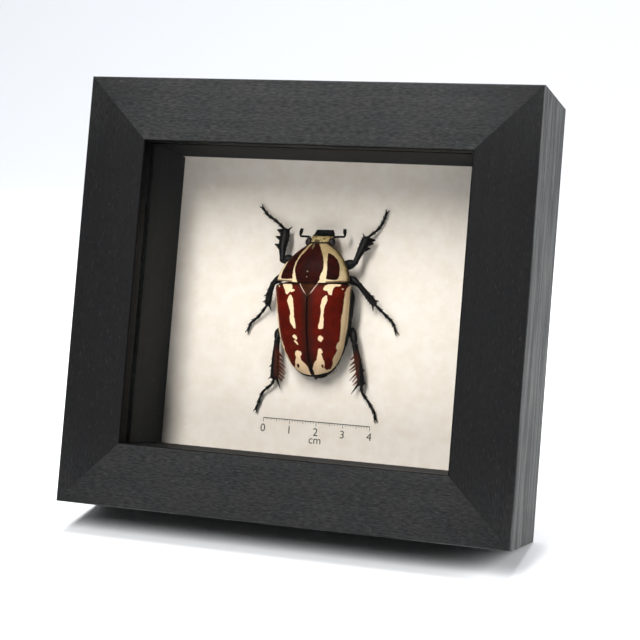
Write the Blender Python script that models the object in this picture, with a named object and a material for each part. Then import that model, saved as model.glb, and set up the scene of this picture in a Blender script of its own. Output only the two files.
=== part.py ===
"""Framed scarab beetle specimen.

A deep black box frame of four mitred rails, glazed at the front, holds one scarab beetle
on a pale card. The origin is at the middle of the frame's base. X runs to the right, Y
runs from the glass to the back board and Z runs up. Sizes below are in millimetres, and
new_object turns them into metres.
"""

import math

import bmesh
import bpy
from mathutils import Vector

MM = 0.001
GAP = 0.3

# The frame
FRAME_WIDTH = 161.0
FRAME_HEIGHT = 150.0
FRAME_DEPTH = 43.0
RAIL_FACE = 22.2
LIP_DEPTH = 5.5
RABBET = 6.0
EDGE_WEAR = 0.5
WINDOW_WIDTH = FRAME_WIDTH - 2 * RAIL_FACE
WINDOW_HEIGHT = FRAME_HEIGHT - 2 * RAIL_FACE
RABBET_WIDTH = WINDOW_WIDTH + 2 * RABBET
RABBET_HEIGHT = WINDOW_HEIGHT + 2 * RABBET

# The layers behind the lip, each given by its depth from the front of the frame
GLASS_THICKNESS = 2.0
GLASS_FRONT = LIP_DEPTH + GAP
SPACER_FRONT = GLASS_FRONT + GLASS_THICKNESS + GAP
SPACER_INSET = 0.4
GROOVE_WIDTH = 1.8
GROOVE_DEPTH = 3.0
CARD_FRONT = 38.1
CARD_THICKNESS = 1.2
BOARD_FRONT = CARD_FRONT + CARD_THICKNESS + GAP
BOARD_THICKNESS = 2.2
TAB_FRONT = BOARD_FRONT + BOARD_THICKNESS + GAP
TAB_THICKNESS = 0.5
TAB_LENGTH = 11.0
TAB_WIDTH = 6.0
TAB_SPREAD = 36.0
PLAY = 0.5

# The beetle lies on the card. Its hinge is where the shield meets the wing cases: "across"
# is measured from the body's middle line, "ahead" towards the head, "behind" towards the
# tail, and "height" up from the card. The two halves of the dried body turn a little.
HINGE_X = -2.1
HINGE_Z = 84.0
FOREBODY_TURN = math.radians(-2.0)
FOREBODY_LEAN = 0.09
HINDBODY_TURN = math.radians(3.2)
ARCH_WIDENING = 0.8
ARCH_RISE = 0.95

# Wing cases and body: (behind, value) pairs
CASE_LENGTH = 32.9
CASE_FRONT = 1.3
CASE_HALF_WIDTH = 14.1
CASE_TAPER = 0.16
CASE_THICKNESS = 1.0
CASE_TOP = (
    (0.0, 13.4), (2.5, 14.8), (9.0, 15.6), (17.0, 15.0), (24.0, 12.9), (29.5, 9.9), (33.0, 6.6),
)
CASE_EDGE = ((0.0, 8.6), (9.0, 8.0), (17.0, 7.4), (25.0, 6.4), (33.0, 5.0))
CASE_STATIONS = 13
TAIL_ROUNDING = 0.4
TAIL_STOP = 0.9995
SHOULDER_LENGTH = 3.5
SHOULDER_DROP = 0.07
BODY_LENGTH = 33.6
BODY_HALF_WIDTH = 13.7
BODY_BULGE = 1.4
BODY_STATIONS = 14
BODY_NECK = 0.5
NECK_COVER = 0.6
NECK_REACH = 3.0
NECK_NARROWING = 0.30
BODY_CLEARANCE = 0.45
BELLY = 0.45

# Scutellum
SCUTELLUM_FRONT = 1.15
SCUTELLUM_LENGTH = 5.0
SCUTELLUM_HALF_WIDTH = 3.4
SCUTELLUM_THICKNESS = 0.9
SCUTELLUM_DROP = 0.15

# Pronotum: (ahead, value) pairs
SHIELD_LENGTH = 13.5
SHIELD_HALF_WIDTH = 13.35
SHIELD_REACH = 14.7
SHIELD_SWEEP = (1.7, 0.66)
SHIELD_BOW = 0.8
SHIELD_TOP = ((0.0, 14.2), (2.0, 14.8), (6.0, 14.4), (10.0, 12.4), (13.5, 9.8))
SHIELD_EDGE = ((0.0, 8.8), (7.0, 8.2), (13.5, 7.4))
SHIELD_FLOOR = 1.9
SHIELD_STATIONS = 9

# Head: ahead, half width, top and underside
HEAD_LEAN = 0.14
HEAD_SIDES = 16
HEAD_SQUARENESS = (0.6, 0.8)
HEAD_SECTIONS = (
    (13.85, 3.6, 8.7, 3.6),
    (14.6, 4.0, 8.5, 3.3),
    (15.6, 4.0, 8.0, 3.2),
    (16.4, 4.1, 7.4, 3.3),
    (17.3, 3.8, 6.5, 3.7),
    (18.2, 3.4, 6.2, 4.2),
    (18.8, 3.0, 6.1, 4.6),
)
EYE_ACROSS = 3.9
EYE_AHEAD = 14.9
EYE_HEIGHT = 6.6
EYE_RADII = (1.35, 1.25, 1.3)

# Antennae: across, ahead, height, thickness as a radius
ANTENNA = (
    (4.7, 16.2, 5.9, 0.36),
    (5.6, 16.3, 5.8, 0.34),
    (7.0, 16.4, 5.7, 0.30),
    (7.9, 16.4, 5.6, 0.30),
    (8.3, 16.9, 5.5, 0.40),
    (8.3, 17.6, 5.5, 0.50),
    (8.1, 18.6, 5.5, 0.48),
    (7.9, 19.4, 5.5, 0.26),
)

# Legs: points are x, z and height, with x from the middle line and z from the hinge. A
# spike is its place along the shin, its side, its length and how far it leans on.
LEG_SIDES = 8
HALF_SPIKE = 0.045
FOOT_JOINTS = 5
FOOT_RADIUS = 0.42
CLAW_LENGTH = 1.3
CLAW_SPREAD = 0.55
CLAW_DROP = 0.55
LEGS = {
    "front_leg_left": {
        "thigh": ((-8.3, 6.6, 4.8), (-10.9, 7.5, 5.7), (-13.0, 7.1, 6.0)),
        "shin": ((-13.6, 8.3, 5.8), (-14.0, 11.6, 4.8), (-13.9, 15.4, 3.9), (-14.2, 18.6, 3.0)),
        "foot": ((-14.9, 19.5, 2.5), (-18.3, 21.6, 1.6), (-21.8, 23.7, 1.3), (-24.2, 26.3, 1.2)),
        "thigh_width": 1.5,
        "shin_width": (1.0, 1.6, 1.7),
        "spikes": ((0.30, 1, 1.9, 0.6), (0.58, 1, 1.9, 0.5), (0.87, 1, 1.7, 0.6), (0.90, -1, 1.2, 1.6)),
    },
    "front_leg_right": {
        "thigh": ((8.8, 6.2, 4.8), (11.6, 6.9, 5.7), (13.7, 7.6, 6.0)),
        "shin": ((14.5, 8.9, 5.8), (15.4, 12.4, 4.6), (16.3, 15.3, 3.7), (16.9, 17.1, 3.0)),
        "foot": ((17.8, 18.0, 2.4), (20.3, 20.6, 1.5), (21.9, 23.8, 1.3), (22.7, 26.4, 1.2)),
        "thigh_width": 1.5,
        "shin_width": (1.0, 1.5, 1.6),
        "spikes": ((0.36, -1, 1.6, 0.6), (0.64, -1, 1.8, 0.6), (0.88, -1, 1.8, 0.7), (0.90, 1, 1.0, 1.4)),
    },
    "middle_leg_left": {
        "thigh": ((-10.5, 1.6, 4.6), (-13.3, 1.0, 5.2), (-15.8, -0.9, 5.8)),
        "shin": ((-16.8, -2.2, 5.6), (-17.4, -4.6, 4.9), (-18.0, -7.2, 4.0), (-18.6, -9.0, 3.2)),
        "foot": ((-19.3, -10.1, 2.6), (-22.0, -13.1, 1.6), (-24.8, -15.7, 1.3), (-26.0, -18.6, 1.2)),
        "thigh_width": 1.3,
        "shin_width": (0.9, 1.1, 1.1),
        "spikes": ((0.48, -1, 1.2, 0.7), (0.84, -1, 1.2, 0.8), (0.90, 1, 1.3, 1.9)),
    },
    "middle_leg_right": {
        "thigh": ((10.6, 1.9, 4.6), (13.2, 1.6, 5.3), (15.6, 0.4, 5.9)),
        "shin": ((16.8, -0.8, 5.6), (18.8, -3.1, 4.9), (20.4, -4.9, 4.1), (21.7, -6.5, 3.2)),
        "foot": ((22.5, -7.5, 2.6), (25.4, -9.9, 1.6), (28.0, -12.3, 1.3), (29.5, -15.4, 1.2)),
        "thigh_width": 1.3,
        "shin_width": (0.9, 1.1, 1.1),
        "spikes": ((0.55, 1, 0.7, 0.5), (0.84, 1, 0.9, 0.9), (0.90, -1, 1.2, 1.9)),
    },
    "hind_leg_left": {
        "thigh": ((-12.3, -17.2, 3.2), (-13.1, -19.0, 4.3), (-13.0, -20.9, 5.3)),
        "shin": ((-13.0, -22.8, 5.4), (-13.3, -27.0, 4.5), (-13.5, -31.6, 3.6), (-13.8, -35.4, 2.9)),
        "foot": ((-14.9, -37.5, 2.3), (-18.1, -40.4, 1.6), (-19.5, -44.0, 1.3), (-20.4, -46.8, 1.2)),
        "thigh_width": 1.4,
        "shin_width": (1.1, 1.5, 1.6),
        "spikes": ((0.60, -1, 1.1, 0.7), (0.91, -1, 0.9, 1.3), (0.91, 1, 1.6, 4.0)),
    },
    "hind_leg_right": {
        "thigh": ((13.6, -15.4, 3.2), (14.9, -17.8, 4.3), (15.7, -20.2, 5.3)),
        "shin": ((16.4, -22.2, 5.4), (17.3, -26.3, 4.5), (18.1, -30.4, 3.6), (18.9, -35.2, 2.7)),
        "foot": ((19.2, -37.7, 2.2), (21.8, -41.2, 1.5), (23.7, -44.2, 1.3), (24.4, -46.6, 1.2)),
        "thigh_width": 1.4,
        "shin_width": (1.1, 1.3, 1.3),
        "spikes": ((0.62, 1, 0.8, 0.7), (0.91, 1, 0.8, 1.0), (0.91, -1, 3.8, 3.6)),
    },
}

# Finishes: base colour, roughness, metallic
FINISHES = {
    "black_wood": ((0.035, 0.035, 0.036), 0.62, 0.0),
    "glass": ((0.9, 0.95, 0.95), 0.03, 0.0),
    "card": ((0.86, 0.80, 0.72), 0.85, 0.0),
    "hardboard": ((0.20, 0.12, 0.07), 0.8, 0.0),
    "steel": ((0.55, 0.55, 0.54), 0.35, 1.0),
    "maroon_shell": ((0.085, 0.012, 0.004), 0.32, 0.0),
    "black_shell": ((0.012, 0.010, 0.010), 0.35, 0.0),
}


def clear_scene():
    for item in list(bpy.data.objects):
        bpy.data.objects.remove(item, do_unlink=True)


def finish_material(name):
    """A Principled material from FINISHES, made once."""
    if name in bpy.data.materials:
        return bpy.data.materials[name]
    colour, roughness, metallic = FINISHES[name]
    material = bpy.data.materials.new(name)
    material.use_nodes = True
    shader = material.node_tree.nodes["Principled BSDF"]
    shader.inputs["Base Color"].default_value = (*colour, 1.0)
    shader.inputs["Roughness"].default_value = roughness
    shader.inputs["Metallic"].default_value = metallic
    return material


def new_object(name, shape, finish, crease_angle=None):
    """Turn a bmesh in millimetres into an object in metres, with its faces pointing out."""
    bmesh.ops.recalc_face_normals(shape, faces=shape.faces)
    bmesh.ops.scale(shape, vec=Vector((MM, MM, MM)), verts=shape.verts)
    mesh = bpy.data.meshes.new(name)
    shape.to_mesh(mesh)
    shape.free()
    mesh.materials.append(finish_material(finish))
    if crease_angle is not None:
        mesh.shade_smooth()
        mesh.set_sharp_from_angle(angle=crease_angle)
    item = bpy.data.objects.new(name, mesh)
    bpy.context.scene.collection.objects.link(item)
    return item


def skin(rings, caps=True):
    """Join a row of rings, all with the same number of points, into one tube."""
    shape = bmesh.new()
    loops = [[shape.verts.new(point) for point in ring] for ring in rings]
    count = len(loops[0])
    for first, second in zip(loops, loops[1:]):
        for i in range(count):
            j = (i + 1) % count
            shape.faces.new((first[i], first[j], second[j], second[i]))
    if caps:
        shape.faces.new(loops[0])
        shape.faces.new(loops[-1])
    return shape


def curve_value(keys, at):
    """Read a smooth curve through (place, value) keys."""
    if at <= keys[0][0]:
        return keys[0][1]
    for k in range(len(keys) - 1):
        left, right = keys[k], keys[k + 1]
        if at <= right[0]:
            before = keys[max(k - 1, 0)]
            after = keys[min(k + 2, len(keys) - 1)]
            span = right[0] - left[0]
            t = (at - left[0]) / span
            slope_left = (right[1] - before[1]) / (right[0] - before[0]) * span
            slope_right = (after[1] - left[1]) / (after[0] - left[0]) * span
            return (
                (2 * t**3 - 3 * t**2 + 1) * left[1]
                + (t**3 - 2 * t**2 + t) * slope_left
                + (3 * t**2 - 2 * t**3) * right[1]
                + (t**3 - t**2) * slope_right
            )
    return keys[-1][1]


def curve_point(points, t):
    """Read a smooth path through points, with t from 0 to 1."""
    last = len(points) - 1
    point = Vector()
    for axis in range(3):
        point[axis] = curve_value([(i / last, p[axis]) for i, p in enumerate(points)], t)
    return point


def deep(depth):
    """The Y of a depth measured from the front of the frame."""
    return depth - FRAME_DEPTH / 2


# Frame


def turn_to_rail(side, along, out, depth):
    """Place a point of a rail: along its length, out from the window, and back in depth."""
    half_width, half_height = WINDOW_WIDTH / 2, WINDOW_HEIGHT / 2
    middle = FRAME_HEIGHT / 2
    if side == "top":
        return Vector((along, deep(depth), middle + half_height + out))
    if side == "bottom":
        return Vector((-along, deep(depth), middle - half_height - out))
    if side == "left":
        return Vector((-half_width - out, deep(depth), middle + along))
    return Vector((half_width + out, deep(depth), middle - along))


def window_half_length(side):
    return (WINDOW_WIDTH if side in ("top", "bottom") else WINDOW_HEIGHT) / 2


def make_rail(side):
    """A mitred rail: an L section with a lip over the glass and worn outer edges."""
    wear = EDGE_WEAR
    section = (
        (wear, 0), (RAIL_FACE - wear, 0), (RAIL_FACE, wear),
        (RAIL_FACE, FRAME_DEPTH - wear), (RAIL_FACE - wear, FRAME_DEPTH),
        (RABBET, FRAME_DEPTH), (RABBET, LIP_DEPTH), (0, LIP_DEPTH), (0, wear),
    )
    mitre_gap = GAP / math.sqrt(2)
    ends = []
    for end in (-1, 1):
        ends.append([
            turn_to_rail(side, end * (window_half_length(side) + out - mitre_gap), out, depth)
            for out, depth in section
        ])
    new_object(f"frame_{side}_rail", skin(ends), "black_wood")


def make_spacer(side):
    """A strip that holds the card off the glass, with a groove next to the glass."""
    outer = RABBET - GAP
    section = (
        (SPACER_INSET + GROOVE_DEPTH, SPACER_FRONT), (outer, SPACER_FRONT),
        (outer, CARD_FRONT - GAP), (SPACER_INSET, CARD_FRONT - GAP),
        (SPACER_INSET, SPACER_FRONT + GROOVE_WIDTH),
        (SPACER_INSET + GROOVE_DEPTH, SPACER_FRONT + GROOVE_WIDTH),
    )
    if side in ("top", "bottom"):
        half_length = window_half_length(side) + outer
    else:
        half_length = window_half_length(side) + SPACER_INSET - GAP
    ends = [
        [turn_to_rail(side, end * half_length, out, depth) for out, depth in section]
        for end in (-1, 1)
    ]
    new_object(f"spacer_{side}", skin(ends), "black_wood")


def make_sheet(name, width, height, front, thickness, finish):
    """A flat rectangular layer of the stack behind the lip."""
    shape = bmesh.new()
    bmesh.ops.create_cube(shape, size=1.0)
    bmesh.ops.scale(shape, vec=Vector((width, thickness, height)), verts=shape.verts)
    centre = Vector((0, deep(front + thickness / 2), FRAME_HEIGHT / 2))
    bmesh.ops.translate(shape, vec=centre, verts=shape.verts)
    new_object(name, shape, finish)


def make_tab(number, side, along):
    """A steel tab with a rounded tip, bent flat against the back board."""
    outline = [(-TAB_WIDTH / 2, RABBET - GAP), (TAB_WIDTH / 2, RABBET - GAP)]
    tip_radius = TAB_WIDTH / 2
    for step in range(7):
        angle = math.pi * step / 6
        reach = TAB_LENGTH - tip_radius * (1 - math.sin(angle))
        outline.append((tip_radius * math.cos(angle), RABBET - reach))
    faces = [
        [turn_to_rail(side, along + across, out, depth) for across, out in outline]
        for depth in (TAB_FRONT, TAB_FRONT + TAB_THICKNESS)
    ]
    new_object(f"back_tab_{number}", skin(faces), "steel")


def make_frame():
    for side in ("top", "bottom", "left", "right"):
        make_rail(side)
        make_spacer(side)
    width, height = RABBET_WIDTH - 2 * PLAY, RABBET_HEIGHT - 2 * PLAY
    make_sheet("glass_pane", width, height, GLASS_FRONT, GLASS_THICKNESS, "glass")
    make_sheet("backing_card", width, height, CARD_FRONT, CARD_THICKNESS, "card")
    make_sheet("back_board", width, height, BOARD_FRONT, BOARD_THICKNESS, "hardboard")
    tabs = [
        ("top", -TAB_SPREAD), ("top", TAB_SPREAD), ("right", 0),
        ("bottom", -TAB_SPREAD), ("bottom", TAB_SPREAD), ("left", 0),
    ]
    for number, (side, along) in enumerate(tabs, start=1):
        make_tab(number, side, along)


# Beetle


def on_card(x, z, height):
    """A point above the card, with x and z from the hinge of the body."""
    return Vector((HINGE_X + x, deep(CARD_FRONT - height), HINGE_Z + z))


def forebody(across, ahead, height):
    turn = FOREBODY_TURN
    across += FOREBODY_LEAN * ahead
    x = across * math.cos(turn) + ahead * math.sin(turn)
    z = ahead * math.cos(turn) - across * math.sin(turn)
    return on_card(x, z, height)


def hindbody(across, behind, height):
    turn = HINDBODY_TURN
    x = across * math.cos(turn) + behind * math.sin(turn)
    z = across * math.sin(turn) - behind * math.cos(turn)
    return on_card(x, z, height)


def case_half_width(behind):
    """Widest at the shoulders, tapering, and rounded off at the tail."""
    share = min(behind / CASE_LENGTH, 1.0)
    shoulder = 1 - SHOULDER_DROP * max(0.0, 1 - behind / SHOULDER_LENGTH) ** 2
    return CASE_HALF_WIDTH * shoulder * (1 - CASE_TAPER * share) * (1 - share**4) ** TAIL_ROUNDING


def scutellum_half_width(behind):
    share = (behind - SCUTELLUM_FRONT) / SCUTELLUM_LENGTH
    return SCUTELLUM_HALF_WIDTH * max(0.0, 1 - share) ** 0.85


def arch(inner, outer, top, edge, steps):
    """Half of a low arch, from its crown out to its edge."""
    points = []
    for step in range(steps + 1):
        angle = math.pi / 2 * step / steps
        across = inner + (outer - inner) * math.sin(angle) ** ARCH_WIDENING
        height = edge + (top - edge) * math.cos(angle) ** ARCH_RISE
        points.append((across, height))
    return points


def both_halves(right):
    """A closed outline from its right half, which starts and ends on the middle line."""
    return right + [(-across, height) for across, height in right[-2:0:-1]]


def tail_stations(front, length, count):
    """Places from front to length that crowd together at the tail."""
    last = math.asin(TAIL_STOP)
    return [front + (length - front) * math.sin(last * i / count) for i in range(count + 1)]


def make_elytron(name, side):
    """A thin arched wing case with one straight edge along the middle line."""
    rings = []
    for behind in tail_stations(CASE_FRONT, CASE_LENGTH, CASE_STATIONS):
        outer = case_half_width(behind)
        inner = max(GAP / 2, scutellum_half_width(behind) + GAP)
        inner = min(inner, outer * 0.4)
        top = curve_value(CASE_TOP, behind)
        edge = curve_value(CASE_EDGE, behind)
        wall = min(CASE_THICKNESS, outer * 0.3, (top - edge) * 0.4)
        outside = arch(inner, outer, top, edge, 9)
        inside = arch(inner, outer - wall, top - wall, edge, 7)
        ring = outside + inside[::-1]
        rings.append([hindbody(side * across, behind, height) for across, height in ring])
    new_object(name, skin(rings), "maroon_shell", math.radians(50))


def make_scutellum():
    rings = []
    for step in range(6):
        behind = SCUTELLUM_FRONT + SCUTELLUM_LENGTH * step / 5.2
        half = scutellum_half_width(behind)
        top = curve_value(CASE_TOP, behind)
        section = (
            (-half, top - SCUTELLUM_DROP), (-half / 2, top), (0, top + SCUTELLUM_DROP / 3),
            (half / 2, top), (half, top - SCUTELLUM_DROP),
            (half, top - SCUTELLUM_THICKNESS), (-half, top - SCUTELLUM_THICKNESS),
        )
        rings.append([hindbody(across, behind, height) for across, height in section])
    new_object("scutellum", skin(rings), "maroon_shell", math.radians(50))


def shield_bow(across):
    """How far the hind edge of the shield bulges back at this place."""
    return SHIELD_BOW * max(0.0, 1 - (across / SHIELD_HALF_WIDTH) ** 2)


def body_ring(behind, cover):
    """One ring round the body, its back lying "cover" below the wing cases' outside."""
    share = behind / BODY_LENGTH
    half = BODY_HALF_WIDTH * (1 - CASE_TAPER * share) * (1 - share**4) ** TAIL_ROUNDING
    bulge = BODY_BULGE * max(0.0, 1 - 2 * share**3)
    narrow = 1 - NECK_NARROWING * max(0.0, 1 - behind / (NECK_REACH + 1)) ** 2
    room = case_half_width(behind) - cover
    ledge = curve_value(CASE_EDGE, behind) - BODY_CLEARANCE
    rise = curve_value(CASE_TOP, behind) - cover - ledge
    top = ledge + 0.1 + (rise - 0.1) * min(1.0, max(0.0, room / 4.0))
    upper = arch(0.0, max(room, half * 0.4), top, ledge, 5)
    lower = [
        (half * narrow, ledge - 0.1),
        ((half + bulge) * narrow, ledge - 1.3),
        (half * narrow * 0.84, ledge - 2.9),
        (half * narrow * 0.6, max(BELLY + 1.0, ledge - 4.6)),
        (half * 0.3, BELLY + 0.3),
        (0.0, BELLY),
    ]
    fade = max(0.0, 1 - behind / NECK_REACH)
    return [
        hindbody(across, behind + shield_bow(across) * fade, height)
        for across, height in both_halves(upper + lower)
    ]


def make_body():
    """Thorax and abdomen under the wing cases, with a black side that shows below them."""
    rings = [body_ring(BODY_NECK, NECK_COVER), body_ring(CASE_FRONT - 2 * GAP, NECK_COVER)]
    cover = CASE_THICKNESS + BODY_CLEARANCE
    places = tail_stations(CASE_FRONT - GAP, BODY_LENGTH, BODY_STATIONS)
    rings += [body_ring(behind, cover) for behind in places]
    new_object("beetle_body", skin(rings), "black_shell", math.radians(50))


def make_pronotum():
    """The shield of the first thorax segment, with the segment's underside."""
    rings = []
    for step in range(SHIELD_STATIONS + 1):
        ahead = SHIELD_LENGTH * math.sin(math.pi / 2 * step / SHIELD_STATIONS) ** 0.9
        sweep, rounding = SHIELD_SWEEP
        half = SHIELD_HALF_WIDTH * (1 - (ahead / SHIELD_REACH) ** sweep) ** rounding
        top = curve_value(SHIELD_TOP, ahead)
        edge = curve_value(SHIELD_EDGE, ahead)
        upper = arch(0.0, half, top, edge, 7)
        lower = [
            (half * 0.93, edge - 0.7),
            (half * 0.68, edge - 2.3),
            (half * 0.5, SHIELD_FLOOR + 1.3),
            (half * 0.3, SHIELD_FLOOR + 0.2),
            (0.0, SHIELD_FLOOR),
        ]
        fade = 1 - ahead / SHIELD_LENGTH
        rings.append([
            forebody(across, ahead - shield_bow(across) * fade, height)
            for across, height in both_halves(upper + lower)
        ])
    new_object("pronotum", skin(rings), "maroon_shell", math.radians(50))


def head_place(across, ahead, height):
    """The head turns a little on its neck."""
    return forebody(across + HEAD_LEAN * (ahead - SHIELD_LENGTH), ahead, height)


def make_head():
    """Head with a flat square-cut front plate and a round eye at each side."""
    rings = []
    wide, high = HEAD_SQUARENESS
    for ahead, half, top, under in HEAD_SECTIONS:
        ring = []
        for step in range(HEAD_SIDES):
            angle = 2 * math.pi * step / HEAD_SIDES
            across = half * math.copysign(abs(math.cos(angle)) ** wide, math.cos(angle))
            rise = math.copysign(abs(math.sin(angle)) ** high, math.sin(angle))
            ring.append(head_place(across, ahead, (top + under) / 2 + (top - under) / 2 * rise))
        rings.append(ring)
    head = new_object("beetle_head", skin(rings), "black_shell", math.radians(50))
    for side in (-1, 1):
        shape = bmesh.new()
        bmesh.ops.create_uvsphere(shape, u_segments=12, v_segments=8, radius=1.0)
        bmesh.ops.scale(shape, vec=Vector(EYE_RADII), verts=shape.verts)
        centre = head_place(side * EYE_ACROSS, EYE_AHEAD, EYE_HEIGHT)
        bmesh.ops.translate(shape, vec=centre, verts=shape.verts)
        eye = new_object(f"eye_cutter_{side}", shape, "black_shell")
        eye.hide_render = True
        eye.display_type = "WIRE"
        join = head.modifiers.new("eye", "BOOLEAN")
        join.operation = "UNION"
        join.object = eye


def tube_ring(centre, direction, half_width, half_height):
    """An oval ring round a limb, flat towards the card."""
    sideways = side_of(direction, 1)
    upward = direction.cross(sideways).normalized()
    ring = []
    for step in range(LEG_SIDES):
        angle = 2 * math.pi * (step + 0.5) / LEG_SIDES
        across = sideways * half_width * math.cos(angle)
        ring.append(centre + across + upward * half_height * math.sin(angle))
    return ring


def limb_rings(path, sizes):
    """Rings along a path, for (share of the path, half width, half height) sizes."""
    rings = []
    for share, half_width, half_height in sizes:
        nearby = curve_point(path, min(share + 0.02, 1.0)) - curve_point(path, max(share - 0.02, 0.0))
        rings.append(tube_ring(curve_point(path, share), nearby.normalized(), half_width, half_height))
    return rings


def thigh_sizes(width):
    shape = ((0.0, 0.7, 0.6), (0.35, 1.0, 0.75), (0.75, 1.0, 0.75), (1.0, 0.75, 0.65))
    return [(share, width * wide, width * high) for share, wide, high in shape]


def shin_sizes(widths, spikes):
    """The shin's sizes, with two rings close together at each spike."""
    keys = [(0.0, widths[0]), (0.45, widths[1]), (0.9, widths[2]), (1.0, widths[2] * 0.8)]
    places = {0.0, 0.15, 1.0}
    for share in {spike[0] for spike in spikes}:
        places |= {round(share - HALF_SPIKE, 3), round(share + HALF_SPIKE, 3)}
    sizes = []
    for share in sorted(places):
        width = curve_value(keys, share)
        sizes.append((share, width, 0.55 * width + 0.25))
    return sizes


def foot_sizes():
    """Five short joints, each narrow where it starts and wide where it ends."""
    sizes = []
    for joint in range(FOOT_JOINTS):
        for part, width in ((0.06, 0.62), (0.55, 0.95), (0.92, 1.15)):
            sizes.append(((joint + part) / FOOT_JOINTS, FOOT_RADIUS * width, FOOT_RADIUS * width * 0.9))
    return sizes


def pull_spike(shape, face, tip, stages=((0.55, 0.5), (1.0, 0.12))):
    """Draw a face out towards a tip in stages of (share of the way, size left)."""
    start = face.calc_center_median()
    size = 1.0
    for share, left in stages:
        face = bmesh.ops.extrude_discrete_faces(shape, faces=[face])["faces"][0]
        centre = face.calc_center_median()
        for vert in face.verts:
            vert.co = start.lerp(tip, share) + (vert.co - centre) * (left / size)
        size = left


def end_claws(shape, ring):
    """Close the last ring of a foot and return the two faces that become claws."""
    shape.faces.new([ring[i] for i in (1, 2, 5, 6)])
    return [shape.faces.new([ring[i] for i in corners]) for corners in ((6, 7, 0, 1), (2, 3, 4, 5))]


def side_of(direction, side):
    """The way out of a limb along the card, to one side or the other."""
    return Vector((0, -1, 0)).cross(direction).normalized() * side


def make_leg(name, leg):
    """One leg: thigh, toothed shin, jointed foot and a pair of claws."""
    paths = {part: [on_card(*point) for point in leg[part]] for part in ("thigh", "shin", "foot")}
    shin = shin_sizes(leg["shin_width"], leg["spikes"])
    rings = limb_rings(paths["thigh"], thigh_sizes(leg["thigh_width"]))
    first_shin = len(rings)
    rings += limb_rings(paths["shin"], shin)
    rings += limb_rings(paths["foot"], foot_sizes())
    shape = skin(rings, caps=False)
    shape.verts.ensure_lookup_table()
    shape.faces.new(shape.verts[:LEG_SIDES])
    claws = end_claws(shape, shape.verts[-LEG_SIDES:])
    bmesh.ops.recalc_face_normals(shape, faces=shape.faces)

    shape.faces.ensure_lookup_table()
    roots = []
    for share, side, _, _ in leg["spikes"]:
        ring = first_shin + max(i for i, size in enumerate(shin) if size[0] < share)
        column = LEG_SIDES - 1 if side > 0 else LEG_SIDES // 2 - 1
        roots.append(shape.faces[ring * LEG_SIDES + column])
    for root, (share, side, length, lean) in zip(roots, leg["spikes"]):
        after = curve_point(paths["shin"], min(share + 0.05, 1.0))
        along = (after - curve_point(paths["shin"], share - 0.05)).normalized()
        tip = root.calc_center_median() + side_of(along, side) * length * 0.8 + along * lean
        pull_spike(shape, root, tip)

    heading = (paths["foot"][-1] - paths["foot"][-2]).normalized()
    for claw, side in zip(claws, (1, -1)):
        tip = claw.calc_center_median() + heading * CLAW_LENGTH + side_of(heading, side) * CLAW_SPREAD
        tip += Vector((0, CLAW_DROP, 0))
        pull_spike(shape, claw, tip, stages=((0.45, 0.7), (1.0, 0.15)))
    new_object(name, shape, "black_shell", math.radians(50))


def make_antenna(name, side):
    path = [forebody(side * across, ahead, height) for across, ahead, height, _ in ANTENNA]
    rings = []
    for i, centre in enumerate(path):
        direction = (path[min(i + 1, len(path) - 1)] - path[max(i - 1, 0)]).normalized()
        radius = ANTENNA[i][3]
        rings.append(tube_ring(centre, direction, radius, radius * 0.8))
    new_object(name, skin(rings), "black_shell", math.radians(50))


def make_beetle():
    make_body()
    make_elytron("elytron_left", -1)
    make_elytron("elytron_right", 1)
    make_scutellum()
    make_pronotum()
    make_head()
    make_antenna("antenna_left", -1)
    make_antenna("antenna_right", 1)
    for name, leg in LEGS.items():
        make_leg(name, leg)


clear_scene()
make_frame()
make_beetle()
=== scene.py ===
# %% [markdown]
# # A framed scarab beetle
# This lesson dresses a finished model of a small box frame with a scarab beetle inside. The
# model already has every rail, layer and leg at its real size. What is made here is the
# finish: stained wood with its grain, pale mottled card, polished glass, and the shell of
# the beetle with its cream markings.

import math
import random

import bmesh
import bpy
from mathutils import Matrix, Vector


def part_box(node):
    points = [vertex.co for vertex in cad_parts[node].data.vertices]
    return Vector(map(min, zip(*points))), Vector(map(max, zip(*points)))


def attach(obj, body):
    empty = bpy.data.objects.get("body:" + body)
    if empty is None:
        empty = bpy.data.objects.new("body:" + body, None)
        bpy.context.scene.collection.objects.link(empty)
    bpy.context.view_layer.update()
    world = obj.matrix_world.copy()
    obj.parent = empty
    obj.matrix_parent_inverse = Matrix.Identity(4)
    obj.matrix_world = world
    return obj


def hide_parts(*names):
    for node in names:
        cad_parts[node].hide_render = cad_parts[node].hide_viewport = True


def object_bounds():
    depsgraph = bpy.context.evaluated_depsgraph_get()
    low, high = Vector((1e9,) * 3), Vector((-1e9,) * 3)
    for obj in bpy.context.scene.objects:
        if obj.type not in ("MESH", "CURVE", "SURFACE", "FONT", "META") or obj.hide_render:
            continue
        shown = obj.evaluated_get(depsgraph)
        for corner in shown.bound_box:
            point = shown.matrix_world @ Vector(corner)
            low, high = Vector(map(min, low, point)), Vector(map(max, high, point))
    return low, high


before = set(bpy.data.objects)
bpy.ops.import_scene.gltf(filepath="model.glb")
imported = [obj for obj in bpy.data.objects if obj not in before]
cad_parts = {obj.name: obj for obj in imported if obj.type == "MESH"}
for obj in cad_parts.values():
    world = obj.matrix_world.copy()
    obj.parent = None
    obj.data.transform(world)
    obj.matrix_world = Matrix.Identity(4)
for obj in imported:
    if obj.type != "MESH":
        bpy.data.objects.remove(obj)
cad_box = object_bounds()
scene = bpy.context.scene
MM = 0.001
print("The model spans", [round(side / MM, 1) for side in cad_box[1] - cad_box[0]], "mm")

# %% [markdown]
# The photographer stood to the right of the frame, where its right side shows, and just
# above its middle. The camera is described by where the middle of the frame's front lies
# from it: right, down and forward. Three turns then aim it. A long lens keeps the rails
# nearly parallel.

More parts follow.
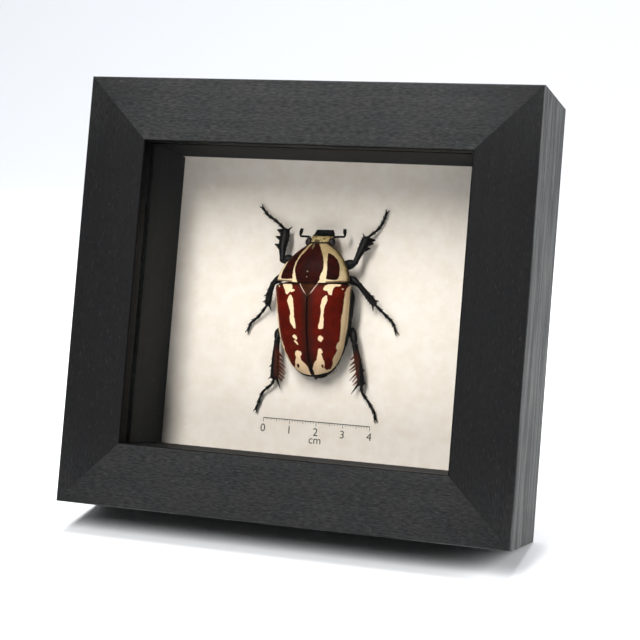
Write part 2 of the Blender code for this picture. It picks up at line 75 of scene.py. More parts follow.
# %% Camera
FRAME_FRONT = Vector((0, cad_box[0].y, (cad_box[0].z + cad_box[1].z) / 2))
FRONT_FROM_CAMERA = Vector((-0.009945, -0.006285, 0.521595))
CAMERA_TURN, CAMERA_TILT, CAMERA_ROLL = 0.3124, -0.0383, 0.0810
LENS = 87.45

upright = Matrix(((1, 0, 0), (0, 0, -1), (0, 1, 0)))
aim = Matrix.Rotation(CAMERA_ROLL, 3, "Z") @ Matrix.Rotation(CAMERA_TILT, 3, "X")
aim = aim @ Matrix.Rotation(CAMERA_TURN, 3, "Y") @ upright
axes = Matrix((aim[0], -aim[1], -aim[2])).transposed().to_4x4()
camera = bpy.data.objects.new("camera", bpy.data.cameras.new("camera"))
camera.matrix_world = Matrix.Translation(FRAME_FRONT - aim.transposed() @ FRONT_FROM_CAMERA) @ axes
camera.data.lens = LENS
camera.data.clip_start = 0.01
scene.collection.objects.link(camera)
scene.camera = camera
print("The camera stands at", [round(c, 3) for c in camera.matrix_world.translation])

# %% [markdown]
# A shader is arithmetic on sockets, and arithmetic reads best as an expression. The class
# below wraps one output of a node. Adding or multiplying two of them adds a Math node, the
# reflected forms let `1 - mask` work, and one method adds any other kind of node.

# %% Write shaders as expressions
class Wire:
    """One output socket of a shader node."""

    def __init__(self, socket):
        self.socket = socket

    def node(self, kind, settings=None, inputs=None, output=0):
        """Add a node: its settings first, then the values or links of its sockets."""
        made = self.socket.id_data.nodes.new(kind)
        for name, value in (settings or {}).items():
            if name == "stops":
                set_stops(made.color_ramp, value)
            elif name == "curve":
                set_curve(made.mapping, value)
            else:
                setattr(made, name, value)
        for key, value in (inputs or {}).items():
            feed(made.inputs[key], value)
        return Wire(made.outputs[output])

    def math(self, operation, *values):
        return self.node("ShaderNodeMath", {"operation": operation}, dict(enumerate(values)))

    def __add__(self, other):
        return self.math("ADD", self, other)

    def __sub__(self, other):
        return self.math("SUBTRACT", self, other)

    def __rsub__(self, other):
        return self.math("SUBTRACT", other, self)

    def __mul__(self, other):
        return self.math("MULTIPLY", self, other)

    def __truediv__(self, other):
        return self.math("DIVIDE", self, other)

    def __rtruediv__(self, other):
        return self.math("DIVIDE", other, self)

    def __pow__(self, other):
        return self.math("POWER", self, other)

    def __neg__(self):
        return self * -1

    def __abs__(self):
        return self.math("ABSOLUTE", self)

    __radd__ = __add__
    __rmul__ = __mul__


def feed(socket, value):
    """Link a wire to a socket, or set the socket's own value."""
    if isinstance(value, Wire):
        socket.id_data.links.new(value.socket, socket)
    else:
        socket.default_value = value


def set_stops(ramp, stops):
    while len(ramp.elements) < len(stops):
        ramp.elements.new(1.0)
    for element, (place, colour) in zip(ramp.elements, stops):
        element.position = place
        element.color = colour


def set_curve(mapping, points):
    line = mapping.curves[0].points
    while len(line) < len(points):
        line.new(0.5, 0.5)
    for point, place in zip(line, points):
        point.location = place
        point.handle_type = "VECTOR"
    mapping.update()


print("Methods of a wire:", sum(callable(value) for value in vars(Wire).values()))

# %% [markdown]
# A few shapes of node come back in every finish: a colour mixed by a mask, fine noise, a
# soft step, and a bump. Paint colours are easier to choose on the screen's 0 to 255 scale,
# and a shader wants light in even steps, so `paint` converts one to the other.

# %% Helpers for finishes
def paint(red, green, blue):
    """A screen colour, 0 to 255, as the even light that a shader works in."""
    shares = [value / 255 for value in (red, green, blue)]
    return tuple(s / 12.92 if s < 0.0404 else ((s + 0.055) / 1.055) ** 2.4 for s in shares) + (1.0,)


def mix(mask, first, second):
    """The first colour where the mask is 0 and the second where it is 1."""
    return mask.node("ShaderNodeMix", {"data_type": "RGBA"}, {0: mask, 6: first, 7: second}, 2)


def step(value, low, high):
    """0 up to low, 1 from high on, and a soft rise between them."""
    limits = {"Value": value, "From Min": low, "From Max": high}
    return value.node("ShaderNodeMapRange", {"interpolation_type": "SMOOTHSTEP"}, limits)


def either(first, second):
    """The larger of two masks."""
    return first.math("MAXIMUM", first, second)


def stretched(place, across, along, up):
    factors = {0: place, 1: (across, along, up)}
    return place.node("ShaderNodeVectorMath", {"operation": "MULTIPLY"}, factors)


def speckle(place, per_metre, detail=3.0, roughness=0.5):
    """Cloudy noise around 0.5, with so many clouds to a metre."""
    inputs = {"Vector": place, "Scale": per_metre, "Detail": detail, "Roughness": roughness}
    return place.node("ShaderNodeTexNoise", {}, inputs)


def pits(place, per_metre):
    """The distance from scattered points, for pores and punctures."""
    return place.node("ShaderNodeTexVoronoi", {}, {"Vector": place, "Scale": per_metre})


def relief(height, depth, strength=1.0):
    """A bump as deep as depth, in metres, where height runs from 0 to 1."""
    inputs = {"Height": height, "Distance": depth, "Strength": strength}
    return height.node("ShaderNodeBump", {}, inputs)


def start_finish(name):
    """A new material, and the place on the object as a wire, in metres."""
    material = bpy.data.materials.new(name)
    material.use_nodes = True
    source = material.node_tree.nodes.new("ShaderNodeTexCoord")
    return material, Wire(source.outputs["Object"])


def end_finish(material, sockets):
    for name, value in sockets.items():
        feed(material.node_tree.nodes["Principled BSDF"].inputs[name], value)
    print("Finish:", material.name, "with", len(material.node_tree.nodes), "nodes")
    return material


def parts_of(place):
    """The X, Y and Z of a place, each as a wire."""
    return [place.node("ShaderNodeSeparateXYZ", {}, {0: place}, axis) for axis in range(3)]


print("Middle grey, 128 of 255, is", round(paint(128, 128, 128)[0], 3), "in even light")

# %% [markdown]
# The rails are an open-grained wood under a thin black stain. Grain is noise that is pulled
# out along the rail: long soft bands, then fine fibres, then short pores that stay paler
# where the stain missed them. The same fibres press into the bump, so the light that skims
# the rail's side picks them out. Round the opening the wood is painted nearly black, as
# painted shade, and on the outer sides long pale lines are painted in, as a painted sheen of
# the light that skims them. Each rail has its own tone, painted light: the top rail lightest
# and the sides darkest, as the light falls on them. Towards the corners the four rails come
# to one tone, and a mitre hardly shows. Top and bottom run along X, the sides along Z.

# %% Stained wood
WOOD_BLACK = paint(20, 20, 21)
WOOD_GREY = paint(82, 82, 81)
WOOD_COOL = paint(74, 76, 76)
PORE_GREY = paint(112, 111, 108)
PAINTED_SHADE_BLACK = paint(6, 6, 6)
WOOD_GLOSS = 0.05
CORNER_TONE = 0.22
PAINTED_SHEEN_TONE = 0.85
BANDS_PER_METRE, BAND_STRETCH = 420, 0.06
FIBRES_PER_METRE, FIBRE_STRETCH = 2000, 0.22
PORES_PER_METRE = 2300
OPENING_HALF_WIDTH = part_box("frame_right_rail")[0].x
OPENING_LOW, OPENING_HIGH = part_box("frame_bottom_rail")[1].z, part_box("frame_top_rail")[0].z


def stained_wood(name, grain, tone, flecks, gloss=0.52):
    material, place = start_finish(name)
    along_grain = 0 if grain == "X" else 2
    long, short = (
        stretched(place, *(share if axis == along_grain else 1.0 for axis in range(3)))
        for share in (BAND_STRETCH, FIBRE_STRETCH)
    )
    bands = speckle(long, BANDS_PER_METRE, 4.0, 0.65)
    fibres = speckle(short, FIBRES_PER_METRE, 3.0, 0.6)
    pores = step(speckle(short, PORES_PER_METRE, 2.0, 0.5), 0.62, 0.78)
    blotches = speckle(place, 90, 4.0, 0.6)
    x, _, z = parts_of(place)
    sideways, upward = abs(x), abs(z - (OPENING_LOW + OPENING_HIGH) / 2)
    from_opening = either(sideways - OPENING_HALF_WIDTH, upward - (OPENING_HIGH - OPENING_LOW) / 2)
    # painted shade: the wood round the opening is made nearly black
    inside = 1 - step(from_opening, 0.1 * MM, 0.5 * MM)
    # painted sheen: long pale lines on the outer sides stand for light that skims them
    to_outside = either(sideways - cad_box[1].x, upward - cad_box[1].z / 2)
    outside = step(to_outside, -0.35 * MM, -0.15 * MM)
    # painted light: each rail's own tone, which fades to one tone at the corners
    corner = step(sideways, 45 * MM, 85 * MM) * step(upward, 40 * MM, 75 * MM)
    shade = 0.28 + step(fibres, 0.32, 0.68) * 0.62 + step(bands, 0.30, 0.70) * 0.2
    shade = shade * (0.8 + blotches * 0.4) * (tone + corner * (CORNER_TONE - tone))
    sheen_streaks = (0.25 + step(bands, 0.40, 0.62) * 0.9) * (0.55 + fibres * 0.9) * PAINTED_SHEEN_TONE
    shade = shade + outside * (sheen_streaks - shade)
    wood = mix(shade, WOOD_BLACK, mix(step(blotches, 0.4, 0.6), WOOD_GREY, WOOD_COOL))
    wood = mix(pores * flecks, wood, PORE_GREY)
    wood = mix(inside, wood, PAINTED_SHADE_BLACK)
    dull = gloss + (fibres - 0.5) * 0.35 + pores * 0.1
    surface = relief(fibres * 0.5 + bands * 0.5 - pores * 0.5, 0.0002, 0.5)
    return end_finish(material, {
        "Base Color": wood, "Roughness": dull, "Normal": surface,
        "Specular IOR Level": WOOD_GLOSS,
    })


# The tones are painted light: the top rail lightest and the side rails darkest, as the light falls
# on them.
rail_woods = {
    "top": stained_wood("black_wood_top", "X", 0.50, 0.20),
    "bottom": stained_wood("black_wood_bottom", "X", 0.34, 0.16),
    "left": stained_wood("black_wood_left", "Z", 0.07, 0.08),
    "right": stained_wood("black_wood_right", "Z", 0.07, 0.08),
}
# Painted light and shade: the upright strips are given a lighter tone than the level ones.
spacer_wood = {
    "X": stained_wood("spacer_wood_level", "X", 0.10, 0.08, 0.65),
    "Z": stained_wood("spacer_wood_upright", "Z", 0.24, 0.25, 0.65),
}

# %% [markdown]
# Every finished piece does the same four things: it becomes an object whose place is in its
# mesh, it takes a finish, it stands for the plain solids that it replaces, and it rides with
# the frame. A copy of a solid arrives as loose triangles, so its doubles are merged and its
# flat faces joined before an edge is rounded. Edges that turn more than a crease angle stay
# sharp in the shading. It is small on flat pieces, so that a wide face next to a thin bevel
# isn't shaded as if it were bent.

# %% Helpers for pieces
FLAT = 15


def finish_piece(name, shape, finish, slot, *solids, crease=40):
    mesh = bpy.data.meshes.new(name)
    shape.to_mesh(mesh)
    shape.free()
    mesh.materials.append(finish)
    mesh.shade_smooth()
    mesh.set_sharp_from_angle(angle=math.radians(crease))
    piece = bpy.data.objects.new(name, mesh)
    scene.collection.objects.link(piece)
    if solids:
        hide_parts(*solids)
    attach(piece, "root")
    print("Piece:", name, "with", len(mesh.polygons), "faces")
    return piece


def copy_solid(name, flat=True):
    """A merged copy of a solid, with its triangles joined into larger faces."""
    shape = bmesh.new()
    shape.from_mesh(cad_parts[name].data)
    bmesh.ops.remove_doubles(shape, verts=shape.verts, dist=0.001 * MM)
    if flat:
        limit = math.radians(1)
        bmesh.ops.dissolve_limit(shape, angle_limit=limit, verts=shape.verts, edges=shape.edges)
    else:
        bmesh.ops.join_triangles(
            shape, faces=shape.faces,
            angle_face_threshold=math.radians(40), angle_shape_threshold=math.radians(60),
        )
    bmesh.ops.recalc_face_normals(shape, faces=shape.faces)
    return shape


def extrude_open(shape, edges):
    """Extrude open edges, and give back the new vertices and the new open edges."""
    grown = bmesh.ops.extrude_edge_only(shape, edges=edges)["geom"]
    verts = [item for item in grown if isinstance(item, bmesh.types.BMVert)]
    edges = [item for item in grown if isinstance(item, bmesh.types.BMEdge)]
    return verts, [edge for edge in edges if edge.is_boundary]


def at_mitre(edge):
    """True on the slanted end of a rail, which lies against the next rail."""
    return any(min(abs(face.normal.x), abs(face.normal.z)) > 0.5 for face in edge.link_faces)


def round_edges(shape, width, over=30, segments=2):
    """Round every edge that turns by more than an angle, but none round a mitre."""
    shape.normal_update()
    turned = [edge for edge in shape.edges if edge.calc_face_angle(0) > math.radians(over)]
    sharp = [edge for edge in turned if not at_mitre(edge)]
    bmesh.ops.bevel(
        shape, geom=sharp, offset=width * MM, affect="EDGES", segments=segments,
        profile=0.5, material=-1, clamp_overlap=True,
    )


def dress_solid(name, node, finish, slot, edge):
    """A flat piece: a copy of its solid with rounded edges."""
    shape = copy_solid(node)
    round_edges(shape, edge)
    return finish_piece(name, shape, finish, slot, node, crease=FLAT)


print("Rails to dress:", sum(1 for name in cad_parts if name.endswith("_rail")))

# %% [markdown]
# The real rails are glued at their mitres, so each copy is drawn out a hair at both ends
# until only a fine line is left between two rails. Saw and sandpaper leave every edge a
# little soft, and a thin bevel catches the light there.

# %% Rails
MITRE_CLOSING = 0.19
RAIL_EDGE = 0.22


def make_rail(side):
    solid = f"frame_{side}_rail"
    shape = copy_solid(solid)
    low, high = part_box(solid)
    axis = 0 if side in ("top", "bottom") else 2
    middle = (low[axis] + high[axis]) / 2
    for direction in (-1, 1):
        end = [v for v in shape.verts if (v.co[axis] - middle) * direction > 0]
        move = Vector((0, 0, 0))
        move[axis] = direction * MITRE_CLOSING * MM
        bmesh.ops.translate(shape, verts=end, vec=move)
    round_edges(shape, RAIL_EDGE)
    return finish_piece(f"rail_{side}", shape, rail_woods[side], "black_wood", solid, crease=FLAT)


for side in ("top", "bottom", "left", "right"):
    make_rail(side)

# %% [markdown]
# Behind the lip sit strips that hold the card off the glass, each with a black groove next
# to the pane. They are the same wood, and their tones are painted light and shade: the
# upright strips are painted lighter than the level ones.

# %% Spacers
for side, grain in (("top", "X"), ("bottom", "X"), ("left", "Z"), ("right", "Z")):
    dress_solid(f"strip_{side}", f"spacer_{side}", spacer_wood[grain], "spacer_wood", 0.15)

# %% [markdown]
# Picture glass mirrors a few parts in a hundred of what stands before it and lets the rest
# through unchanged. A mirror film of so low an alpha does the same, and leaves no haze over
# the dark shell behind it. The card is cream parchment paper, faintly clouded and flecked.

# %% Glass and card
def picture_glass():
    material, place = start_finish("picture_glass")
    smears = step(speckle(place, 30, 2.0), 0.45, 0.75) * 0.03 + 0.01
    return end_finish(material, {
        "Base Color": (0.95, 0.97, 0.97, 1.0), "Alpha": 0.02, "Roughness": smears, "Metallic": 1.0,
    })


CARD_CREAM = paint(248, 239, 226)
CARD_SHADOW = paint(241, 230, 214)
CARD_PALE = paint(253, 247, 238)


def parchment_card():
    material, place = start_finish("parchment_card")
    clouds = speckle(place, 190, 5.0, 0.65)
    fibres = speckle(place, 900, 4.0, 0.6)
    tone = mix(step(clouds, 0.3, 0.7), CARD_SHADOW, CARD_CREAM)
    tone = mix(step(fibres, 0.5, 0.8) * 0.6, tone, CARD_PALE)
    surface = relief(fibres, 0.00005, 0.4)
    return end_finish(material, {"Base Color": tone, "Roughness": 0.85, "Normal": surface})


dress_solid("pane", "glass_pane", picture_glass(), "glass", 0.15)
dress_solid("card", "backing_card", parchment_card(), "card", 0.1)

# %% [markdown]
# The back is closed with brown hardboard, smooth and leathery with fine dark fibres, and six
# zinc-plated tabs that are bent flat against it. Zinc has a cloudy crystal pattern and fine
# rolling lines.

# %% Back board and tabs
def hardboard():
    material, place = start_finish("hardboard")
    fibres = speckle(place, 1100, 6.0, 0.7)
    clouds = speckle(place, 120, 3.0)
    tone = mix(step(fibres, 0.35, 0.7), paint(82, 54, 34), paint(138, 100, 68))
    tone = mix(step(clouds, 0.4, 0.8) * 0.35, tone, paint(100, 66, 42))
    surface = relief(fibres, 0.00012, 0.6)
    dull = 0.62 + fibres * 0.2
    return end_finish(material, {"Base Color": tone, "Roughness": dull, "Normal": surface})


def zinc_plate():
    material, place = start_finish("zinc_plate")
    crystals = pits(place, 420)
    lines = speckle(stretched(place, 1.0, 1.0, 0.04), 4000, 3.0)
    tone = mix(step(crystals, 0.1, 0.7), paint(176, 178, 180), paint(206, 207, 206))
    dull = 0.28 + lines * 0.2 + crystals * 0.12
    surface = relief(lines, 0.00002, 0.5)
    return end_finish(material, {
        "Base Color": tone, "Roughness": dull, "Metallic": 1.0, "Normal": surface,
    })


dress_solid("board", "back_board", hardboard(), "hardboard", 0.2)
tab_finish = zinc_plate()
for number in range(1, 7):
    dress_solid(f"tab_{number}", f"back_tab_{number}", tab_finish, "steel", 0.12)

# %% [markdown]
# Under the beetle the card carries a printed scale in place of a label: a ruled line with a
# tick at each centimetre, plain numbers, and the unit below. Text is made a mesh before it
# is placed, and all of the print is one thin piece on the card.

# %% Printed scale
CARD_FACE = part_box("backing_card")[0].y / MM
INK_THICKNESS = 0.03
SCALE_LENGTH = 4
SCALE_MIDDLE = 0.3
SCALE_LINE_Z = 34.4
NUMBER_HEIGHT = 4.0
UNIT_Z = 26.6


def add_ink(shape, points):
    """Lay a flat outline of ink a hair above the card."""
    places = [Vector((x, CARD_FACE - INK_THICKNESS, z)) * MM for x, z in points]
    shape.faces.new([shape.verts.new(place) for place in places])


def add_bar(shape, left, right, low, high):
    add_ink(shape, [(left, low), (right, low), (right, high), (left, high)])


def add_text(shape, words, x, z, height):
    curve = bpy.data.curves.new("words", "FONT")
    curve.body = words
    curve.align_x = "CENTER"
    curve.size = height * MM
    curve.resolution_u = 6
    holder = bpy.data.objects.new("words", curve)
    scene.collection.objects.link(holder)
    mesh = bpy.data.meshes.new_from_object(holder)
    stand = Matrix.Translation(Vector((x, CARD_FACE - INK_THICKNESS, z)) * MM)
    mesh.transform(stand @ Matrix.Rotation(math.radians(90), 4, "X"))
    shape.from_mesh(mesh)
    bpy.data.objects.remove(holder)
    bpy.data.meshes.remove(mesh)


def printing_ink():
    material, place = start_finish("printing_ink")
    tone = mix(step(speckle(place, 2500), 0.4, 0.7), paint(22, 20, 20), paint(52, 48, 46))
    return end_finish(material, {"Base Color": tone, "Roughness": 0.6})


def make_scale():
    shape = bmesh.new()
    left = SCALE_MIDDLE - 10 * SCALE_LENGTH / 2
    add_bar(shape, left, left + 10 * SCALE_LENGTH, SCALE_LINE_Z - 0.14, SCALE_LINE_Z + 0.14)
    for tick in range(10 * SCALE_LENGTH + 1):
        drop = 1.5 if tick % 10 == 0 else 1.1 if tick % 5 == 0 else 0.7
        add_bar(shape, left + tick - 0.09, left + tick + 0.09, SCALE_LINE_Z - drop, SCALE_LINE_Z)
        if tick % 10 == 0:
            add_text(shape, str(tick // 10), left + tick, SCALE_LINE_Z - 5.0, NUMBER_HEIGHT)
    add_text(shape, "cm", SCALE_MIDDLE, UNIT_Z, NUMBER_HEIGHT)
    bmesh.ops.recalc_face_normals(shape, faces=shape.faces)
    for face in shape.faces:
        if face.normal.y > 0:
            face.normal_flip()
    return finish_piece("printed_scale", shape, printing_ink(), "card")


make_scale()

# %% [markdown]
# The beetle's pieces are easiest to shape in the beetle's own measures, in millimetres:
# across from the middle line, ahead or behind the hinge between shield and wing cases, and
# height above the card. Two functions turn those into the frame's metres. The dried body is
# turned a little one way in front of the hinge and the other way behind it.

# %% The beetle's own measures
HINGE_X, HINGE_Z = -2.1, 84.0
FOREBODY_TURN, FOREBODY_LEAN = math.radians(-2.0), 0.09
HINDBODY_TURN = math.radians(3.2)


def on_card(x, z, height):
    return Vector((HINGE_X + x, CARD_FACE - height, HINGE_Z + z)) * MM


def forebody(across, ahead, height):
    cos, sin = math.cos(FOREBODY_TURN), math.sin(FOREBODY_TURN)
    across += FOREBODY_LEAN * ahead
    return on_card(across * cos + ahead * sin, ahead * cos - across * sin, height)


def hindbody(across, behind, height):
    cos, sin = math.cos(HINDBODY_TURN), math.sin(HINDBODY_TURN)
    return on_card(across * cos + behind * sin, across * sin - behind * cos, height)


def from_hinge(place):
    """X and Z from the hinge, in millimetres, as wires."""
    x, _, z = parts_of(place)
    return x / MM - HINGE_X, z / MM - HINGE_Z


def forebody_wires(place):
    x, z = from_hinge(place)
    cos, sin = math.cos(FOREBODY_TURN), math.sin(FOREBODY_TURN)
    ahead = x * sin + z * cos
    return x * cos - z * sin - ahead * FOREBODY_LEAN, ahead


def across_and_behind(x, z):
    """The hind body's own measures, from numbers or from wires off the hinge."""
    cos, sin = math.cos(HINDBODY_TURN), math.sin(HINDBODY_TURN)
    return x * cos + z * sin, x * sin - z * cos


def hindbody_wires(place):
    return across_and_behind(*from_hinge(place))


def glide(keys, at):
    """Read a smooth curve through (place, value) keys."""
    if at <= keys[0][0]:
        return keys[0][1]
    for k in range(len(keys) - 1):
        left, right = keys[k], keys[k + 1]
        if at <= right[0]:
            before, after = keys[max(k - 1, 0)], keys[min(k + 2, len(keys) - 1)]
            span = right[0] - left[0]
            t = (at - left[0]) / span
            slope_left = (right[1] - before[1]) / (right[0] - before[0]) * span
            slope_right = (after[1] - left[1]) / (after[0] - left[0]) * span
            ends = (2 * t**3 - 3 * t**2 + 1) * left[1] + (3 * t**2 - 2 * t**3) * right[1]
            return ends + (t**3 - 2 * t**2 + t) * slope_left + (t**3 - t**2) * slope_right
    return keys[-1][1]


def swell(distance, reach):
    """A soft hump: 1 in the middle, a third at its reach, and near 0 at twice its reach."""
    return math.exp(-((distance / reach) ** 2))


print("The hinge lies at", [round(c, 4) for c in on_card(0, 0, 0)])

# %% [markdown]
# The markings are pale patches with clear edges on a dark shell. Each one is told as rows:
# at this place along the body it starts here and ends there. Two Float Curve nodes read
# the rows, and the distance inside both edges becomes a soft mask. Where a row's right edge
# lies left of its left edge there is no marking, and that is how a row of spots is parted.

# %% Markings as bands
CURVE_LENGTH = 40.0
CURVE_REACH = 20.0
EDGE_SOFTNESS = 0.1
RIM_BLACK = paint(16, 10, 7)


def edge_curve(along, rows):
    """How far across an edge lies, read at each place along the body."""
    points = [(a / CURVE_LENGTH, (v + CURVE_REACH) / (2 * CURVE_REACH)) for a, v in rows]
    read = along.node("ShaderNodeFloatCurve", {"curve": points}, {"Value": along / CURVE_LENGTH})
    return read * (2 * CURVE_REACH) - CURVE_REACH


def band(across, along, rows, softness=EDGE_SOFTNESS):
    """1 inside the rows of (place along, left edge, right edge), 0 outside."""
    left = edge_curve(along, [(a, start) for a, start, _ in rows])
    right = edge_curve(along, [(a, end) for a, _, end in rows])
    inside = across.math("MINIMUM", across - left, right - across)
    return step(inside, -softness, softness)


def edge_line(colour, out, along, rows):
    """Draw the thin dark line along an outer edge."""
    return mix(step(out - edge_curve(along, rows), -0.05, 0.2) * 0.85, colour, RIM_BLACK)


def spot(across, along, x, y, radius, squash=1.0):
    """1 inside a spot, which a squash under 1 makes longer along the body."""
    far = ((across - x) * (across - x) + (along - y) * (along - y) * squash) ** 0.5
    return 1 - step(far, radius - 0.08, radius + 0.08)


print("A marking's edge is soft over", 2 * EDGE_SOFTNESS, "mm")

# %% [markdown]
# The wing cases are deep chestnut red, glossy, with a thin clear wax over the colour. The
# cream is matt scales that lie on top, so it is duller than the shell. The left and right
# markings of a real beetle never match quite, so each side has its own rows. A few small pale
# dots at the shoulders are painted highlights. The front of each case is painted darker, as
# painted shade under the shield's rear edge, and the cream along the right side is painted
# towards olive, as painted shade. The markings wander a little by noise: no edge is ruled.

# %% Wing case finish
SHELL_RED = paint(96, 16, 1)
SHELL_DEEP = paint(74, 10, 0)
SHELL_DARK = paint(36, 17, 8)
CREAM = paint(246, 214, 172)
CREAM_WARM = paint(226, 186, 152)
CREAM_OLIVE = paint(176, 158, 104)
SHELL_GLOSS = 0.03

LEFT_CHAIN = (  # behind the hinge, left edge, right edge
    (1.2, -9.6, -6.6), (1.9, -9.6, -6.0), (2.7, -9.0, -5.7), (3.4, -8.6, -6.2), (4.2, -8.4, -6.9),
    (4.9, -8.0, -7.3), (5.05, -7.4, -7.8), (5.1, -6.3, -6.8), (5.3, -6.7, -6.1), (6.3, -7.35, -5.5),
    (7.3, -7.65, -5.25), (8.0, -7.4, -5.1), (9.1, -6.9, -5.05), (10.5, -6.35, -4.95),
    (11.6, -6.1, -4.9), (13.0, -6.5, -4.75), (14.7, -6.25, -4.35), (15.8, -5.5, -4.2),
    (16.7, -4.95, -4.1), (17.1, -4.4, -4.6), (18.9, -4.5, -5.3), (19.2, -5.1, -4.4),
    (19.7, -5.7, -4.1), (20.3, -5.1, -3.8), (20.9, -4.3, -4.1), (21.05, -4.6, -5.0),
    (21.3, -5.1, -4.3), (21.8, -4.7, -3.8), (22.6, -3.8, -3.5), (22.9, -3.4, -4.0),
    (24.5, -4.0, -4.6), (24.9, -4.8, -2.9), (25.8, -5.2, -2.6), (26.9, -4.75, -3.3),
    (28.2, -5.4, -3.0), (29.1, -5.7, -1.9), (30.2, -6.2, -1.0), (31.0, -8.0, -0.9),
    (32.9, -9.0, -1.0),
)
LEFT_LOBE = (
    (3.0, -5.6, -5.9), (3.2, -6.5, -5.2), (3.8, -6.6, -4.95), (4.2, -6.3, -5.9), (4.4, -6.0, -6.4),
)
RIGHT_CHAIN = (
    (1.2, 7.8, 11.3), (1.6, 6.7, 11.4), (1.95, 6.2, 11.2), (2.2, 6.0, 9.7), (2.8, 5.6, 9.1),
    (3.4, 5.6, 9.0), (3.8, 7.2, 8.9), (4.9, 7.7, 8.8), (5.2, 8.2, 8.6), (5.25, 8.6, 8.0),
    (5.3, 7.0, 6.6), (5.5, 6.5, 7.05), (6.3, 5.7, 7.2), (7.0, 5.3, 7.2), (8.0, 5.1, 6.9),
    (8.7, 5.0, 6.6), (10.5, 5.0, 6.2), (11.5, 5.15, 6.1), (13.3, 4.85, 6.05), (14.7, 4.6, 6.05),
    (16.1, 4.1, 5.95), (16.9, 4.1, 5.8), (17.2, 5.0, 4.6), (19.1, 5.0, 4.4), (19.4, 4.5, 5.1),
    (19.8, 4.0, 5.5), (20.4, 3.75, 5.8), (21.0, 3.95, 5.55), (21.4, 4.5, 5.0), (21.6, 4.9, 4.4),
    (23.6, 4.6, 3.9), (23.9, 3.8, 4.7), (24.6, 3.5, 5.1), (25.3, 3.4, 5.2), (26.4, 3.0, 4.75),
    (27.8, 2.5, 5.2), (29.2, 1.3, 5.3), (30.5, 0.8, 4.8), (31.2, 0.7, 5.2), (31.8, 0.7, 9.5),
    (32.9, 1.0, 9.5),
)
SIDE_INNER_EDGE = (  # behind the hinge, across
    (1.6, 13.6), (3.1, 13.0), (4.9, 12.7), (7.7, 12.35), (11.2, 12.0), (12.6, 11.65), (15.4, 11.45),
    (18.9, 11.1), (20.9, 10.8), (21.7, 10.2), (23.4, 9.5), (24.3, 9.8), (25.9, 8.9), (27.3, 8.1),
    (29.3, 7.6), (30.7, 6.7), (31.3, 5.0), (31.8, 0.7), (32.9, 0.7),
)
# each painted highlight: across, along, radius
SHOULDER_PAINTED_HIGHLIGHTS = ((-11.2, 2.0, 0.35), (12.1, 2.9, 0.25), (12.9, 4.2, 0.28))
# each hole: across, along, radius, squash
TAIL_HOLES = ((4.35, 29.9, 0.42, 0.45), (-4.75, 29.9, 0.55, 0.6), (5.0, 25.7, 0.32, 1.0))
CASE_RIM = (
    (0.0, 13.85), (8.0, 13.45), (16.0, 12.75), (24.0, 11.1), (28.0, 9.6), (31.0, 7.0), (32.9, 3.0),
)


def wing_case_finish():
    material, place = start_finish("wing_case")
    across, behind = hindbody_wires(place)
    wander = (speckle(place, 1000, 4.0, 0.7) - 0.5) * 0.9
    wander_along = (speckle(place, 1300, 4.0, 0.7) - 0.5) * 0.7
    a, b = across + wander, behind + wander_along
    dorsal = either(band(a, b, LEFT_CHAIN), band(a, b, LEFT_LOBE))
    dorsal = either(dorsal, band(a, b, RIGHT_CHAIN))
    holes = 0.0
    for hole in TAIL_HOLES:
        holes = either(spot(a, b, *hole), holes)
    side = step(abs(a) - edge_curve(b, SIDE_INNER_EDGE), -0.1, 0.1)
    cream = either(dorsal * (1 - holes), side)
    # painted highlights: small pale dots at the shoulders
    for x, y, radius in SHOULDER_PAINTED_HIGHLIGHTS:
        cream = either(cream, spot(a, b, x, y, radius) * 0.8)

    rear = step(behind, 22.0, 32.0)
    middle = 1 - step(abs(across), 0.8, 2.9)
    mottle = speckle(place, 260, 4.0, 0.6)
    red = mix(step(mottle, 0.35, 0.7), SHELL_DEEP, SHELL_RED)
    red = mix(middle * (0.7 + rear * 0.3), red, SHELL_DARK)
    # painted shade: the front of each case is darkened under the shield's rear edge
    front_painted_shade = 1 - step(behind, 1.2, 3.2)
    red = mix(front_painted_shade * 0.6, red, SHELL_DARK)
    pale = mix(side * (1 - step(behind, 2.0, 9.0)) * 0.75, CREAM, CREAM_WARM)
    # painted shade: the cream along the right side is darkened towards olive
    right_painted_shade = step(across, 4.0, 10.0)
    pale = mix(side * right_painted_shade * 0.3 + rear * 0.12, pale, CREAM_OLIVE)
    pale = mix(step(speckle(place, 1500, 3.0), 0.5, 0.8) * 0.3, pale, CREAM_WARM)
    colour = edge_line(mix(cream, red, pale), across, behind, CASE_RIM)

    punctures = step(pits(place, 1500), 0.05, 0.4)
    skin = relief(punctures * 0.6 + mottle * 0.4 + cream * 0.25, 0.00006, 0.35)
    dull = 0.36 + cream * 0.25 + mottle * 0.08
    return end_finish(material, {
        "Base Color": colour, "Roughness": dull, "Normal": skin, "Specular IOR Level": SHELL_GLOSS,
    })


case_finish = wing_case_finish()

# %% [markdown]
# A wing case is a thin arched plate. It starts as a flat grid, and each point of the grid is
# moved to its place on the arch: one side of the grid follows the seam along the back and
# bends round the small triangle at the front, the other follows the outer edge. Low swells
# are pressed in at the shoulder and near the tail, with a fine raised rim. Last, the plate
# gets its thickness and its cut edges are rounded.

